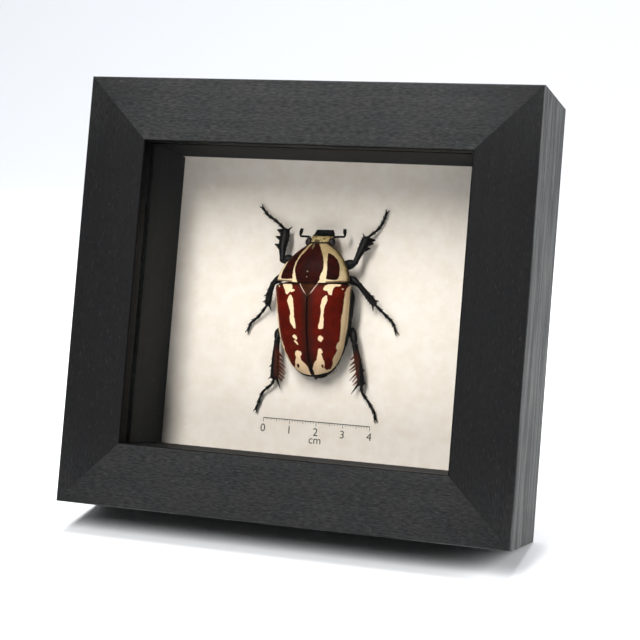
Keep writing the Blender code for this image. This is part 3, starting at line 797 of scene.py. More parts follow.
# %% Wing cases
CASE_LENGTH, CASE_FRONT = 32.9, 1.3
CASE_HALF_WIDTH, CASE_TAPER = 14.1, 0.16
CASE_TOP = (
    (0.0, 13.4), (2.5, 14.8), (9.0, 15.6), (17.0, 15.0), (24.0, 12.9), (29.5, 9.9), (33.0, 6.6),
)
CASE_EDGE = ((0.0, 8.6), (9.0, 8.0), (17.0, 7.4), (25.0, 6.4), (33.0, 5.0))
ARCH_WIDENING, ARCH_RISE = 0.8, 0.95
SEAM = 0.15
CASE_THICKNESS, CASE_ROUNDING = 0.7, 0.14
SCUTELLUM_FRONT, SCUTELLUM_LENGTH, SCUTELLUM_HALF_WIDTH = 1.15, 5.0, 3.4
CASE_GRID = (56, 84)


def case_half_width(behind):
    share = min(behind / CASE_LENGTH, 1.0)
    shoulder = 1 - 0.07 * max(0.0, 1 - behind / 3.5) ** 2
    return CASE_HALF_WIDTH * shoulder * (1 - CASE_TAPER * share) * (1 - share**4) ** 0.4


def scutellum_half_width(behind):
    share = (behind - SCUTELLUM_FRONT) / SCUTELLUM_LENGTH
    return SCUTELLUM_HALF_WIDTH * max(0.0, 1 - share) ** 0.85


def arch_point(inner, outer, top, edge, out):
    """A place on a low arch: out is 0 at its crown and 1 at its edge."""
    angle = math.pi / 2 * out
    across = inner + (outer - inner) * math.sin(angle) ** ARCH_WIDENING
    return across, edge + (top - edge) * math.cos(angle) ** ARCH_RISE


def case_relief(across, behind, out):
    """How far the surface rises or sinks, in millimetres."""
    shoulder = 0.35 * swell(math.hypot(across - 10.3, behind - 4.4), 2.4)
    tail_swell = 0.30 * swell(math.hypot(across - 5.6, behind - 27.3), 2.3)
    seam_ridge = 0.16 * swell(out, 0.045) * min(1.0, behind / 12)
    seam_furrow = -0.16 * swell(out - 0.13, 0.06) * min(1.0, behind / 12)
    rim = 0.16 * swell(out - 0.97, 0.035) - 0.12 * swell(out - 0.89, 0.04)
    ribs = 0.05 * swell(out - 0.36, 0.03) + 0.05 * swell(out - 0.60, 0.03)
    return shoulder + tail_swell + seam_ridge + seam_furrow + rim + ribs


def face_viewer(shape):
    """Turn an open sheet so that its outside looks to the front."""
    bmesh.ops.recalc_face_normals(shape, faces=shape.faces)
    if sum(face.normal.y * face.calc_area() for face in shape.faces) > 0:
        bmesh.ops.reverse_faces(shape, faces=shape.faces)
    shape.normal_update()


def make_wing_case(name, side, node):
    shape = bmesh.new()
    bmesh.ops.create_grid(shape, x_segments=CASE_GRID[0], y_segments=CASE_GRID[1], size=0.5)
    nearly_all = math.asin(0.9995)  # rows lie closer to the tail, and the last keeps a width
    rises = {}
    for vert in shape.verts:
        out, back = vert.co.x + 0.5, vert.co.y + 0.5
        behind = CASE_FRONT + (CASE_LENGTH - CASE_FRONT) * math.sin(nearly_all * back)
        outer = case_half_width(behind)
        inner = min(max(SEAM, scutellum_half_width(behind) + 2 * SEAM), outer * 0.4)
        top, edge = glide(CASE_TOP, behind), glide(CASE_EDGE, behind)
        across, height = arch_point(inner, outer, top, edge, out)
        rises[vert] = case_relief(across, behind, out)
        vert.co = hindbody(side * across, behind, height)
    face_viewer(shape)
    for vert, rise in rises.items():
        vert.co += vert.normal * rise * MM
    piece = finish_piece(name, shape, case_finish, "maroon_shell", node)
    plate = piece.modifiers.new("thickness", "SOLIDIFY")
    plate.thickness = CASE_THICKNESS * MM
    plate.offset = -1
    rounding = piece.modifiers.new("rounding", "BEVEL")
    rounding.width = CASE_ROUNDING * MM
    rounding.segments = 2
    rounding.angle_limit = math.radians(50)
    return piece


make_wing_case("wing_case_left", -1, "elytron_left")
make_wing_case("wing_case_right", 1, "elytron_right")

# %% [markdown]
# The shield over the first segment is darker than the wing cases. Its pale lines are what is
# left between three dark fields, so it is the fields that are told as rows. On the right
# border the cream is painted further towards olive, as painted shade. Fine punctures cover it
# all, and two pale dots on the middle field are painted highlights.

# %% Shield finish
SHIELD_BROWN = paint(52, 8, 2)
SHIELD_DEEP = paint(32, 6, 2)
SHIELD_CREAM = paint(240, 214, 172)
SHIELD_OLIVE = paint(150, 128, 78)
SHIELD_BORDER = paint(70, 40, 14)
SHIELD_HALF_WIDTH, SHIELD_BOW = 13.35, 0.8
CURVE_LIFT = 2.0  # a curve is read from 0 on, and the rear border bows back past the hinge
SHIELD_RIM = (
    (0.0, 13.0), (2.0, 13.0), (4.0, 12.7), (7.0, 11.55), (10.0, 9.65), (13.0, 6.85), (15.5, 3.2),
)
# each painted highlight: across, along, radius
SHIELD_PAINTED_HIGHLIGHTS = ((-0.7, 3.1, 0.24), (-0.7, 1.2, 0.20))
MIDDLE_FIELD = (  # ahead of the hinge, left edge, right edge
    (-1.2, -4.0, 2.9), (-0.35, -4.3, 3.6), (0.5, -4.6, 4.1), (1.2, -4.8, 4.0), (3.5, -5.6, 4.7),
    (4.5, -5.6, 4.85), (6.4, -5.4, 4.5), (8.65, -4.6, 3.6), (10.3, -3.5, 2.7), (12.0, -2.7, 1.6),
    (13.2, -2.1, 0.8), (13.6, -1.9, 0.7),
)
RIGHT_FIELD = (
    (0.3, 9.0, 8.0), (0.45, 6.5, 9.8), (0.9, 6.3, 10.3), (2.2, 6.3, 10.5), (4.5, 6.15, 10.1),
    (5.8, 5.9, 9.7), (7.6, 5.5, 8.7), (9.0, 5.1, 7.2), (9.8, 4.95, 5.9), (10.1, 5.4, 4.8),
)
LEFT_FIELD = (
    (0.3, -8.0, -9.0), (0.45, -10.8, -6.0), (1.8, -11.0, -6.2), (3.2, -10.8, -6.2),
    (5.0, -10.1, -6.1), (6.5, -9.7, -6.0), (7.0, -10.3, -5.8), (7.4, -12.5, -5.6),
    (8.65, -12.5, -5.3), (10.3, -9.0, -4.6), (12.0, -6.0, -3.7), (13.3, -4.0, -3.0),
)


def shield_finish():
    material, place = start_finish("shield")
    across, ahead = forebody_wires(place)
    lifted = ahead + CURVE_LIFT
    wander = (speckle(place, 800, 2.0) - 0.5) * 0.5
    dark = 0.0
    for rows in (MIDDLE_FIELD, RIGHT_FIELD, LEFT_FIELD):
        raised = [(a + CURVE_LIFT, start, end) for a, start, end in rows]
        dark = either(band(across + wander, lifted, raised), dark)
    nick = spot(across, ahead, -1.2, 12.4, 0.35, 0.1)
    dark = dark * (1 - nick * 0.6)
    # painted highlights: two pale dots on the middle field
    for x, y, radius in SHIELD_PAINTED_HIGHLIGHTS:
        dark = dark * (1 - spot(across, ahead, x, y, radius) * 0.7)

    mottle = speckle(place, 300, 4.0, 0.6)
    brown = mix(step(mottle, 0.35, 0.7), SHIELD_DEEP, SHIELD_BROWN)
    rim = step(abs(across) - edge_curve(lifted, SHIELD_RIM), -0.7, 0.2)
    front = step(ahead, 3.0, 10.5)
    pale = mix(front * 0.75, SHIELD_CREAM, SHIELD_OLIVE)
    # painted shade: the cream on the right border is darkened towards olive
    right_painted_shade = step(across, 6.5, 10.5)
    pale = mix(rim * 0.5 + right_painted_shade * 0.45 + step(mottle, 0.5, 0.72) * 0.35, pale, SHIELD_OLIVE)
    fringe = step(dark, 0.02, 0.3) * (1 - dark)
    pale = mix(fringe * 0.8, pale, SHIELD_DEEP)
    colour = mix(dark, pale, brown)
    side_share = across / SHIELD_HALF_WIDTH
    from_rear = ahead + SHIELD_BOW * (1 - side_share * side_share)
    border = (1 - step(from_rear, 0.35, 0.6)) * step(abs(across), 5.8, 6.6)
    colour = mix(border * 0.85, colour, SHIELD_BORDER)
    colour = edge_line(colour, abs(across), lifted, SHIELD_RIM)
    punctures = step(pits(place, 1300), 0.05, 0.42)
    colour = mix((1 - punctures) * 0.35, colour, SHIELD_DEEP)
    skin = relief(punctures * 0.8 + mottle * 0.2, 0.00008, 0.4)
    dull = 0.60 - dark * 0.20 + mottle * 0.08
    return end_finish(material, {
        "Base Color": colour, "Roughness": dull, "Normal": skin, "Specular IOR Level": SHELL_GLOSS,
    })


shield_material = shield_finish()

# %% [markdown]
# The shield is a dome that narrows to the head. It is a grid again, moved to the arch. Its
# border is then extruded down and in, ring by ring, into the underside, and closed, so that
# from a low angle it is a solid body with a sharp raised rim.

# %% Shield
SHIELD_LENGTH, SHIELD_REACH = 13.5, 14.7
SHIELD_TOP = ((0.0, 14.2), (2.0, 14.8), (6.0, 14.4), (10.0, 12.4), (13.5, 9.8))
SHIELD_EDGE = ((0.0, 8.8), (7.0, 8.2), (13.5, 7.4))
SHIELD_FLOOR = 1.9
SHIELD_GRID = (96, 56)
# each ring of the underside: how far in and how far down it lies, as shares of the ring above
UNDERSIDE = ((0.985, 0.93), (0.93, 0.88), (0.72, 0.72), (0.72, 0.45), (0.65, 0.15))


def shield_relief(across, ahead, out):
    rim = 0.16 * swell(out - 0.975, 0.03) - 0.14 * swell(out - 0.90, 0.04)
    hollow = -0.15 * swell(across, 0.9) * swell(ahead - 12.0, 2.0)
    dimples = -0.22 * swell(math.hypot(abs(across) - 8.2, ahead - 5.0), 1.1)
    rear_edge = 0.12 * swell(ahead, 0.5)
    return rim + hollow + dimples + rear_edge


def make_shield():
    shape = bmesh.new()
    bmesh.ops.create_grid(shape, x_segments=SHIELD_GRID[0], y_segments=SHIELD_GRID[1], size=0.5)
    rises = {}
    for vert in shape.verts:
        side, forward = 2 * vert.co.x, vert.co.y + 0.5
        ahead = SHIELD_LENGTH * math.sin(math.pi / 2 * forward) ** 0.9
        half = SHIELD_HALF_WIDTH * (1 - (ahead / SHIELD_REACH) ** 1.7) ** 0.66
        out = abs(side)
        top, edge = glide(SHIELD_TOP, ahead), glide(SHIELD_EDGE, ahead)
        across, height = arch_point(0.0, half, top, edge, out)
        rises[vert] = shield_relief(across, ahead, out)
        fade = 1 - ahead / SHIELD_LENGTH
        bow = SHIELD_BOW * max(0.0, 1 - (across / SHIELD_HALF_WIDTH) ** 2) * fade
        vert.co = (math.copysign(across, side), ahead - bow, height)
    shape.normal_update()
    upward = 1 if sum(face.normal.z for face in shape.faces) > 0 else -1
    for vert, rise in rises.items():
        vert.co += vert.normal * rise * upward
    edges = [edge for edge in shape.edges if edge.is_boundary]
    for inward, upright in UNDERSIDE:
        border, edges = extrude_open(shape, edges)
        for vert in border:
            vert.co.x *= inward
            vert.co.y = SHIELD_LENGTH / 2 + (vert.co.y - SHIELD_LENGTH / 2) * (0.5 + inward / 2)
            vert.co.z = SHIELD_FLOOR + (vert.co.z - SHIELD_FLOOR) * upright
    bmesh.ops.edgeloop_fill(shape, edges=edges)
    for vert in shape.verts:
        vert.co = forebody(*vert.co)
    bmesh.ops.recalc_face_normals(shape, faces=shape.faces)
    return finish_piece("shield", shape, shield_material, "maroon_shell", "pronotum")


make_shield()

# %% [markdown]
# Between shield and wing cases lies the scutellum, a small flat triangle. It is olive brown
# and has a pale pink line along each side. The solid is right as it is, so its copy is only
# rounded and given a finer mesh.

# %% Scutellum
def scutellum_finish():
    material, place = start_finish("scutellum")
    across, behind = hindbody_wires(place)
    half = (1 - (behind - SCUTELLUM_FRONT) / SCUTELLUM_LENGTH) * SCUTELLUM_HALF_WIDTH
    line = step(abs(across) - half, -0.30, -0.18) * (1 - step(behind, 3.6, 5.4))
    mottle = speckle(place, 500, 4.0)
    olive = mix(step(mottle, 0.35, 0.7), paint(50, 22, 4), paint(68, 34, 10))
    colour = mix(line, olive, paint(222, 184, 164))
    skin = relief(step(pits(place, 1500), 0.05, 0.4), 0.00006, 0.35)
    return end_finish(material, {
        "Base Color": colour, "Roughness": 0.5 + line * 0.2, "Normal": skin,
        "Specular IOR Level": SHELL_GLOSS,
    })


def make_scutellum():
    shape = copy_solid("scutellum", flat=False)
    round_edges(shape, 0.15, over=50)
    bmesh.ops.subdivide_edges(shape, edges=shape.edges, cuts=2, use_grid_fill=True, smooth=0.3)
    bmesh.ops.recalc_face_normals(shape, faces=shape.faces)
    return finish_piece("scutellum_plate", shape, scutellum_finish(), "maroon_shell", "scutellum")


make_scutellum()

# %% [markdown]
# Legs, feelers and the body below the wing cases are black with a satin gloss, a little
# brown where the shell is thin. The hind shins are dark red-brown along their inner side.

# %% Black shell
SHELL_BLACK = paint(9, 8, 8)
SHELL_BROWN = paint(34, 24, 19)
SHIN_RED = paint(64, 24, 10)
HIND_SHIN_START, HIND_SHIN_END = (22.0, 26.0), (33.0, 36.0)
HIND_SHINS_MIDDLE, HIND_SHIN_INSIDE = 2.3, (15.3, 16.3)


def black_shell_finish(name, redness=0.0):
    material, place = start_finish(name)
    x, z = from_hinge(place)
    mottle = speckle(place, 420, 4.0, 0.6)
    colour = mix(step(mottle, 0.4, 0.75) * 0.6, SHELL_BLACK, SHELL_BROWN)
    shin = step(-z, *HIND_SHIN_START) * (1 - step(-z, *HIND_SHIN_END)) * redness
    inner = 1 - step(abs(x - HIND_SHINS_MIDDLE), *HIND_SHIN_INSIDE)
    colour = mix(shin * inner, colour, SHIN_RED)
    rough = speckle(place, 2600, 4.0)
    skin = relief(step(pits(place, 1700), 0.04, 0.4) * 0.6 + rough * 0.4, 0.00008, 0.5)
    dull = 0.34 + rough * 0.18
    return end_finish(material, {
        "Base Color": colour, "Roughness": dull, "Normal": skin, "Specular IOR Level": 0.12,
    })


leg_finish = black_shell_finish("black_shell")
hind_leg_finish = black_shell_finish("hind_shell", 0.9)

# %% [markdown]
# A limb is a row of tubes that fit into each other. Each tube is grown from a circle that is
# extruded ring by ring, and every ring is moved to its place: along a path through a few
# chosen points, with its own width and thickness. Teeth and spines are thin cones.

# %% Grow a tube
def grow_tube(shape, rings, sides, place_point):
    """Extrude a circle ring by ring; place_point gives each point from its ring and angle."""
    turn = shape.verts.layers.float.get("turn") or shape.verts.layers.float.new("turn")
    circle = bmesh.ops.create_circle(shape, cap_ends=False, segments=sides, radius=1)["verts"]
    for vert in circle:
        vert[turn] = math.atan2(vert.co.y, vert.co.x)
    start = edges = list({edge for vert in circle for edge in vert.link_edges})
    for ring in range(rings):
        if ring:
            circle, edges = extrude_open(shape, edges)
        for vert in circle:
            vert.co = place_point(ring, vert[turn])
    for loop in (start, edges):
        bmesh.ops.edgeloop_fill(shape, edges=loop)


def along(points, share):
    """A place on a smooth path through points, for a share from 0 to 1."""
    last = len(points) - 1
    rows = ([(k / last, point[axis]) for k, point in enumerate(points)] for axis in range(3))
    return Vector([glide(row, share) for row in rows])


def heading_at(path, share, reach=0.04):
    """The way a path runs at a share of its length."""
    before, after = along(path, max(share - reach, 0.0)), along(path, min(share + reach, 1.0))
    return (after - before).normalized()


def beside(direction, side):
    """The way out of a limb along the card, to one side or the other."""
    return Vector((0, -1, 0)).cross(direction).normalized() * side


def add_limb(shape, points, size_at, rings, sides=12):
    """Grow a tube along a path; size_at gives (half width, half thickness) in millimetres."""
    def place_point(ring, angle):
        share = ring / (rings - 1)
        heading = heading_at(points, share, 0.02)
        sideways = beside(heading, 1)
        upward = heading.cross(sideways).normalized()
        wide, high = size_at(share)
        out = sideways * wide * math.cos(angle) + upward * high * math.sin(angle)
        return along(points, share) + out * MM

    grow_tube(shape, rings, sides, place_point)


def add_thorn(shape, root, tip, radius, sides=7):
    """A pointed cone from root to tip, in metres."""
    line = tip - root
    stand = Matrix.Translation((root + tip) / 2) @ line.to_track_quat("Z", "Y").to_matrix().to_4x4()
    bmesh.ops.create_cone(
        shape, cap_ends=True, segments=sides, radius1=radius * MM, radius2=radius * 0.15 * MM,
        depth=line.length, matrix=stand,
    )


def add_bead(shape, centre, radii, around, rows):
    """A round or oval bead; centre in metres, radii in millimetres."""
    bead = bmesh.ops.create_uvsphere(shape, u_segments=around, v_segments=rows, radius=1.0)["verts"]
    bmesh.ops.scale(shape, vec=Vector(radii) * MM, verts=bead)
    bmesh.ops.translate(shape, vec=centre, verts=bead)


short_path = Vector((0, 0, 0)), Vector((2, 0, 0))
print("Halfway from 0 to 2 mm a path is at", along(short_path, 0.5).x, "mm")

# %% [markdown]
# A beetle's leg has a thigh that is a plain spindle, a shin that widens towards its teeth,
# and a foot of five small bells with two hooked claws. The dried legs are all bent their own
# way, so each one has its own few points across and ahead of the hinge and above the card,
# its own widths, and its own teeth: how far along the shin, on which side, how long, and how
# far they lean.

# %% Legs
FOOT_JOINTS = 5
FOOT_RADIUS = 0.62
KNEE_SHARE = 0.85
CLAW_LENGTH, CLAW_SPREAD, CLAW_DROP = 1.3, 0.55, 0.6
BROAD_TOOTH, SLIM_TOOTH = 1.3, 0.55
SHIN_SPINES, SPINE_RADIUS = (0.28, 0.44, 0.60, 0.76), 0.26
LEGS = {
    "front_leg_left": {
        "thigh": ((-8.3, 6.6, 4.8), (-10.9, 7.5, 5.7), (-13.2, 7.1, 6.0)),
        "shin": ((-14.0, 11.6, 4.8), (-13.9, 15.4, 3.9), (-14.2, 18.6, 3.0)),
        "foot": ((-18.3, 21.6, 1.6), (-21.8, 23.7, 1.3), (-24.2, 26.3, 1.2)),
        "widths": (1.75, 1.05, 1.65, 1.75),
        "teeth": (
            (0.40, 1, 2.0, 0.6), (0.67, 1, 2.0, 0.5), (0.94, 1, 1.7, 0.7), (0.95, -1, 1.2, 1.4),
        ),
    },
    "front_leg_right": {
        "thigh": ((8.8, 6.2, 4.8), (11.6, 6.9, 5.7), (13.9, 7.6, 6.0)),
        "shin": ((15.4, 12.4, 4.6), (16.3, 15.3, 3.7), (16.9, 17.1, 3.0)),
        "foot": ((20.3, 20.6, 1.5), (21.9, 23.8, 1.3), (22.7, 26.4, 1.2)),
        "widths": (1.75, 1.05, 1.55, 1.65),
        "teeth": (
            (0.44, -1, 1.7, 0.6), (0.70, -1, 1.8, 0.6), (0.93, -1, 1.8, 0.7), (0.95, 1, 1.0, 1.2),
        ),
    },
    "middle_leg_left": {
        "thigh": ((-10.5, 1.6, 4.6), (-13.3, 1.0, 5.2), (-16.1, -1.2, 5.8)),
        "shin": ((-17.4, -4.6, 4.9), (-18.0, -7.2, 4.0), (-18.6, -9.0, 3.2)),
        "foot": ((-22.0, -13.1, 1.6), (-24.8, -15.7, 1.3), (-26.0, -18.6, 1.2)),
        "widths": (1.45, 0.95, 1.2, 1.2),
        "teeth": ((0.48, -1, 1.2, 0.7), (0.84, -1, 1.2, 0.8), (0.95, 1, 1.3, 1.9)),
    },
    "middle_leg_right": {
        "thigh": ((10.6, 1.9, 4.6), (13.2, 1.6, 5.3), (15.9, 0.2, 5.9)),
        "shin": ((18.8, -3.1, 4.9), (20.4, -4.9, 4.1), (21.7, -6.5, 3.2)),
        "foot": ((25.4, -9.9, 1.6), (28.0, -12.3, 1.3), (29.5, -15.4, 1.2)),
        "widths": (1.45, 0.95, 1.2, 1.2),
        "teeth": ((0.55, 1, 0.7, 0.5), (0.84, 1, 0.9, 0.9), (0.95, -1, 1.2, 1.9)),
    },
    "hind_leg_left": {
        "thigh": ((-12.3, -17.2, 3.2), (-13.1, -19.0, 4.3), (-13.0, -21.6, 5.3)),
        "shin": ((-13.3, -27.0, 4.5), (-13.5, -31.6, 3.6), (-13.8, -35.4, 2.9)),
        "foot": (
            (-14.9, -37.5, 2.3), (-18.1, -40.4, 1.6), (-19.5, -44.0, 1.3), (-20.4, -46.8, 1.2),
        ),
        "widths": (1.4, 1.1, 1.5, 1.6),
        "teeth": ((0.60, -1, 1.1, 0.7), (0.93, -1, 0.9, 1.3), (0.95, 1, 1.6, 4.0)),
    },
    "hind_leg_right": {
        "thigh": ((13.6, -15.4, 3.2), (14.9, -17.8, 4.3), (16.0, -21.0, 5.3)),
        "shin": ((17.3, -26.3, 4.5), (18.1, -30.4, 3.6), (18.9, -35.2, 2.7)),
        "foot": ((19.2, -37.7, 2.2), (21.8, -41.2, 1.5), (23.7, -44.2, 1.3), (24.4, -46.6, 1.2)),
        "widths": (1.4, 1.1, 1.3, 1.3),
        "teeth": ((0.62, 1, 0.8, 0.7), (0.93, 1, 0.8, 1.0), (0.95, -1, 3.8, 3.6)),
    },
}


def thigh_size(widths, share):
    wide = widths[0] * (0.62 + 0.42 * math.sin(math.pi * min(share * 1.05, 1.0)) ** 0.7)
    return wide, wide * 0.78


def shin_size(widths, share):
    start, middle, end = widths[1:]
    knee = 0.28 * swell(share, 0.05)
    keys = [(0.0, start * 0.8), (0.12, start), (0.5, middle), (0.92, end), (1.0, end * 0.75)]
    wide = glide(keys, share)
    return wide + knee, 0.55 * wide + 0.3 + knee / 2


def step_between(value, low, high):
    share = min(max((value - low) / (high - low), 0.0), 1.0)
    return share * share * (3 - 2 * share)


def foot_size(share):
    """Five bells, each narrow where it starts and wide where it ends."""
    joint = min(int(share * FOOT_JOINTS), FOOT_JOINTS - 1)
    part = share * FOOT_JOINTS - joint
    mouth = 1 - 0.55 * step_between(part, 0.90, 1.0)
    last = 1.0 if joint < FOOT_JOINTS - 1 else 0.9
    wide = FOOT_RADIUS * (0.66 + 0.46 * part**1.4) * mouth * last
    return wide, wide * 0.9


def leg_paths(leg):
    """The paths of thigh, shin and foot; each begins where the one before it ends."""
    paths = []
    for part in ("thigh", "shin", "foot"):
        joint = paths[-1][-1:] if paths else []
        paths.append(joint + [on_card(*point) for point in leg[part]])
    return paths


def add_spine(shape, path, share, side, edge, length):
    """A short spine on one side of a limb, leaning towards its end."""
    heading = heading_at(path, share)
    out = beside(heading, side)
    root = along(path, share) + out * edge * 0.6 * MM
    tip = root + (out * (edge * 0.4 + length) + heading * length) * MM
    add_thorn(shape, root, tip, SPINE_RADIUS, 5)


def make_leg(name, leg, finish):
    shape = bmesh.new()
    thigh, shin, foot = leg_paths(leg)
    widths = leg["widths"]
    for joint, radius in ((thigh[-1], widths[1] * KNEE_SHARE), (shin[-1], FOOT_RADIUS)):
        add_bead(shape, joint, (radius, radius, radius), 14, 10)
    add_limb(shape, thigh, lambda share: thigh_size(widths, share), 18, 16)
    add_limb(shape, shin, lambda share: shin_size(widths, share), 30, 16)
    add_limb(shape, foot, foot_size, 61)
    for share, side, length, lean in leg["teeth"]:
        middle = along(shin, share)
        heading = heading_at(shin, share)
        out = beside(heading, side)
        edge = shin_size(widths, share)[0]
        root = middle + out * edge * 0.45 * MM
        tip = middle + (out * (edge + length * 0.8) + heading * lean) * MM
        radius = BROAD_TOOTH if length > 1.5 and lean < 1 else SLIM_TOOTH
        add_thorn(shape, root - heading * 0.4 * MM, tip, radius)
    for share in SHIN_SPINES:
        for side in (-1, 1):
            add_spine(shape, shin, share + 0.04 * side, side, shin_size(widths, share)[0], 0.5)
    for joint in range(1, FOOT_JOINTS):
        for side in (-1, 1):
            add_spine(shape, foot, joint / FOOT_JOINTS - 0.02, side, FOOT_RADIUS, 0.35)
    heading = (foot[-1] - foot[-2]).normalized()
    for side in (-1, 1):
        reach = heading * CLAW_LENGTH + beside(heading, side) * CLAW_SPREAD
        tip = foot[-1] + reach * MM + Vector((0, CLAW_DROP * MM, 0))
        knuckle = foot[-1] + reach * 0.6 * MM + beside(heading, side) * 0.22 * MM
        hook = (foot[-1] - heading * 0.2 * MM, knuckle, tip)
        add_limb(shape, hook, lambda share: (0.30 - 0.24 * share, 0.30 - 0.24 * share), 9, 6)
    bmesh.ops.recalc_face_normals(shape, faces=shape.faces)
    limb = name.replace("_leg", "_limb")
    return finish_piece(limb, shape, finish, "black_shell", name, crease=50)


for name, leg in LEGS.items():
    make_leg(name, leg, hind_leg_finish if name.startswith("hind") else leg_finish)

# %% [markdown]
# A feeler is a thin jointed stem that bends forward and ends in a club of three plates,
# which lie together like the pages of a closed book.

# %% Feelers
STEM = (  # across, ahead, height, radius
    (4.2, 15.9, 6.0, 0.46), (4.9, 16.2, 5.9, 0.46), (5.6, 16.3, 5.8, 0.40), (7.0, 16.4, 5.7, 0.38),
    (7.9, 16.4, 5.6, 0.40), (8.3, 16.9, 5.5, 0.42), (8.3, 17.4, 5.5, 0.38),
)
CLUB_ENDS = ((8.3, 17.1, 5.5), (7.95, 19.35, 5.5))
CLUB_PLATES, CLUB_SPACING, CLUB_DEPTH = 3, 0.38, 0.60


def make_feeler(name, side, node):
    shape = bmesh.new()
    stem = [forebody(side * across, ahead, height) for across, ahead, height, _ in STEM]
    radii = [(k / (len(STEM) - 1), joint[3]) for k, joint in enumerate(STEM)]

    def stem_size(share):
        wide = glide(radii, share) * (1 + 0.10 * math.sin(share * 2 * math.pi * 6))
        return wide, wide * 0.85

    add_limb(shape, stem, stem_size, 44)
    low, high = (forebody(side * across, ahead, height) for across, ahead, height in CLUB_ENDS)
    heading = (high - low).normalized()
    sideways = beside(heading, 1)
    half_sizes = (CLUB_SPACING * 0.52 * MM, CLUB_DEPTH * MM, (high - low).length / 2)
    size = Matrix.Diagonal((*half_sizes, 1.0))
    turn = Matrix((sideways, heading.cross(sideways), heading)).transposed().to_4x4()
    for plate in range(CLUB_PLATES):
        offset = sideways * (plate - (CLUB_PLATES - 1) / 2) * CLUB_SPACING * MM
        stand = Matrix.Translation((low + high) / 2 + offset) @ turn @ size
        bmesh.ops.create_uvsphere(shape, u_segments=16, v_segments=10, radius=1.0, matrix=stand)
    bmesh.ops.recalc_face_normals(shape, faces=shape.faces)
    return finish_piece(name, shape, leg_finish, "black_shell", node, crease=50)


make_feeler("feeler_left", -1, "antenna_left")
make_feeler("feeler_right", 1, "antenna_right")

# %% [markdown]
# Below the wing cases only the black flanks and the tip of the body show. The copy of the
# solid keeps its outline: smooth subdivision rounds the faces between its own points, and a
# shallow groove is pressed in between each two rings of the hind body. The last plate of the
# body is a small dome that looks out to the right of the seam.

# %% Body
RING_LENGTH = 3.3
FIRST_RING, LAST_RING = 12, 32
RING_GROOVE = 0.22
TAIL_MIDDLE, TAIL_RADII = (1.9, 4.6, 32.0), (3.3, 1.7, 2.1)


def make_body():
    shape = copy_solid("beetle_body", flat=False)
    bmesh.ops.subdivide_edges(shape, edges=shape.edges, cuts=3, use_grid_fill=True, smooth=0.6)
    bmesh.ops.recalc_face_normals(shape, faces=shape.faces)
    shape.normal_update()
    for vert in shape.verts:
        _, behind = across_and_behind(vert.co.x / MM - HINGE_X, vert.co.z / MM - HINGE_Z)
        phase = (behind / RING_LENGTH + 0.5) % 1 - 0.5
        if FIRST_RING < behind < LAST_RING:
            vert.co -= vert.normal * RING_GROOVE * swell(phase, 0.09) * MM
    tail = bmesh.ops.create_uvsphere(shape, u_segments=36, v_segments=20, radius=1.0)["verts"]
    for vert in tail:
        place = (vert.co[axis] * TAIL_RADII[axis] + TAIL_MIDDLE[axis] for axis in range(3))
        across, upward, behind = place
        vert.co = hindbody(across, behind, upward)
    bmesh.ops.recalc_face_normals(shape, faces=shape.faces)
    return finish_piece("body", shape, leg_finish, "black_shell", "beetle_body", crease=50)


make_body()

# %% [markdown]
# The head is a flat box with rounded corners: a pale olive forehead between dark round eyes,
# and a black plate in front with a square-cut, slightly raised edge. It is grown as a tube:
# a circle is extruded forward, section by section, and each ring is moved to its outline.

# %% Head
HEAD_LEAN = 0.14
HEAD_SECTIONS = (  # ahead, half width, top, underside
    (13.85, 3.6, 8.7, 3.6), (14.6, 4.0, 8.5, 3.3), (15.6, 4.0, 8.0, 3.2), (16.4, 4.1, 7.4, 3.3),
    (17.3, 3.8, 6.5, 3.7), (18.2, 3.4, 6.2, 4.2), (18.8, 3.0, 6.1, 4.6),
)
HEAD_RINGS, HEAD_SIDES = 36, 48
EYE_ACROSS, EYE_AHEAD, EYE_HEIGHT, EYE_RADII = 4.15, 14.2, 7.0, (1.45, 1.3, 1.6)


def head_place(across, ahead, height):
    return forebody(across + HEAD_LEAN * (ahead - SHIELD_LENGTH), ahead, height)


def head_point(ring, angle):
    share = ring / (HEAD_RINGS - 1)
    ahead = HEAD_SECTIONS[0][0] + (HEAD_SECTIONS[-1][0] - HEAD_SECTIONS[0][0]) * share
    half, top, under = (glide([(s[0], s[k]) for s in HEAD_SECTIONS], ahead) for k in (1, 2, 3))
    across = half * math.copysign(abs(math.cos(angle)) ** 0.6, math.cos(angle))
    rise = math.copysign(abs(math.sin(angle)) ** 0.8, math.sin(angle))
    height = (top + under) / 2 + (top - under) / 2 * rise
    if rise > 0:
        height += 0.22 * swell(ahead - 18.65, 0.25) - 0.18 * swell(ahead - 17.6, 0.6)
        height += 0.14 * swell(abs(across) - 2.2, 0.6) * swell(ahead - 15.6, 1.2)
    return head_place(across, ahead, height)


def head_finish():
    material, place = start_finish("head")
    across, ahead = forebody_wires(place)
    mottle = speckle(place, 700, 3.0, 0.6)
    ahead = ahead + (mottle - 0.5) * 0.7
    dark = step(ahead, 16.2, 16.5)
    collar = 1 - step(ahead, 14.0, 14.3)
    pale = mix(step(mottle, 0.38, 0.58), paint(106, 86, 46), paint(180, 160, 112))
    colour = mix(either(dark, collar), pale, SHELL_BLACK)
    brow = spot(across, ahead, -0.7, 14.5, 1.0, 2.5)
    colour = mix(brow * 0.8, colour, paint(52, 28, 12))
    skin = relief(step(pits(place, 1900), 0.04, 0.4), 0.00008, 0.5)
    return end_finish(material, {
        "Base Color": colour, "Roughness": 0.5 - dark * 0.1, "Normal": skin,
        "Specular IOR Level": 0.05,
    })


head_shape = bmesh.new()
grow_tube(head_shape, HEAD_RINGS, HEAD_SIDES, head_point)
bmesh.ops.recalc_face_normals(head_shape, faces=head_shape.faces)
finish_piece("head", head_shape, head_finish(), "black_shell", "beetle_head")

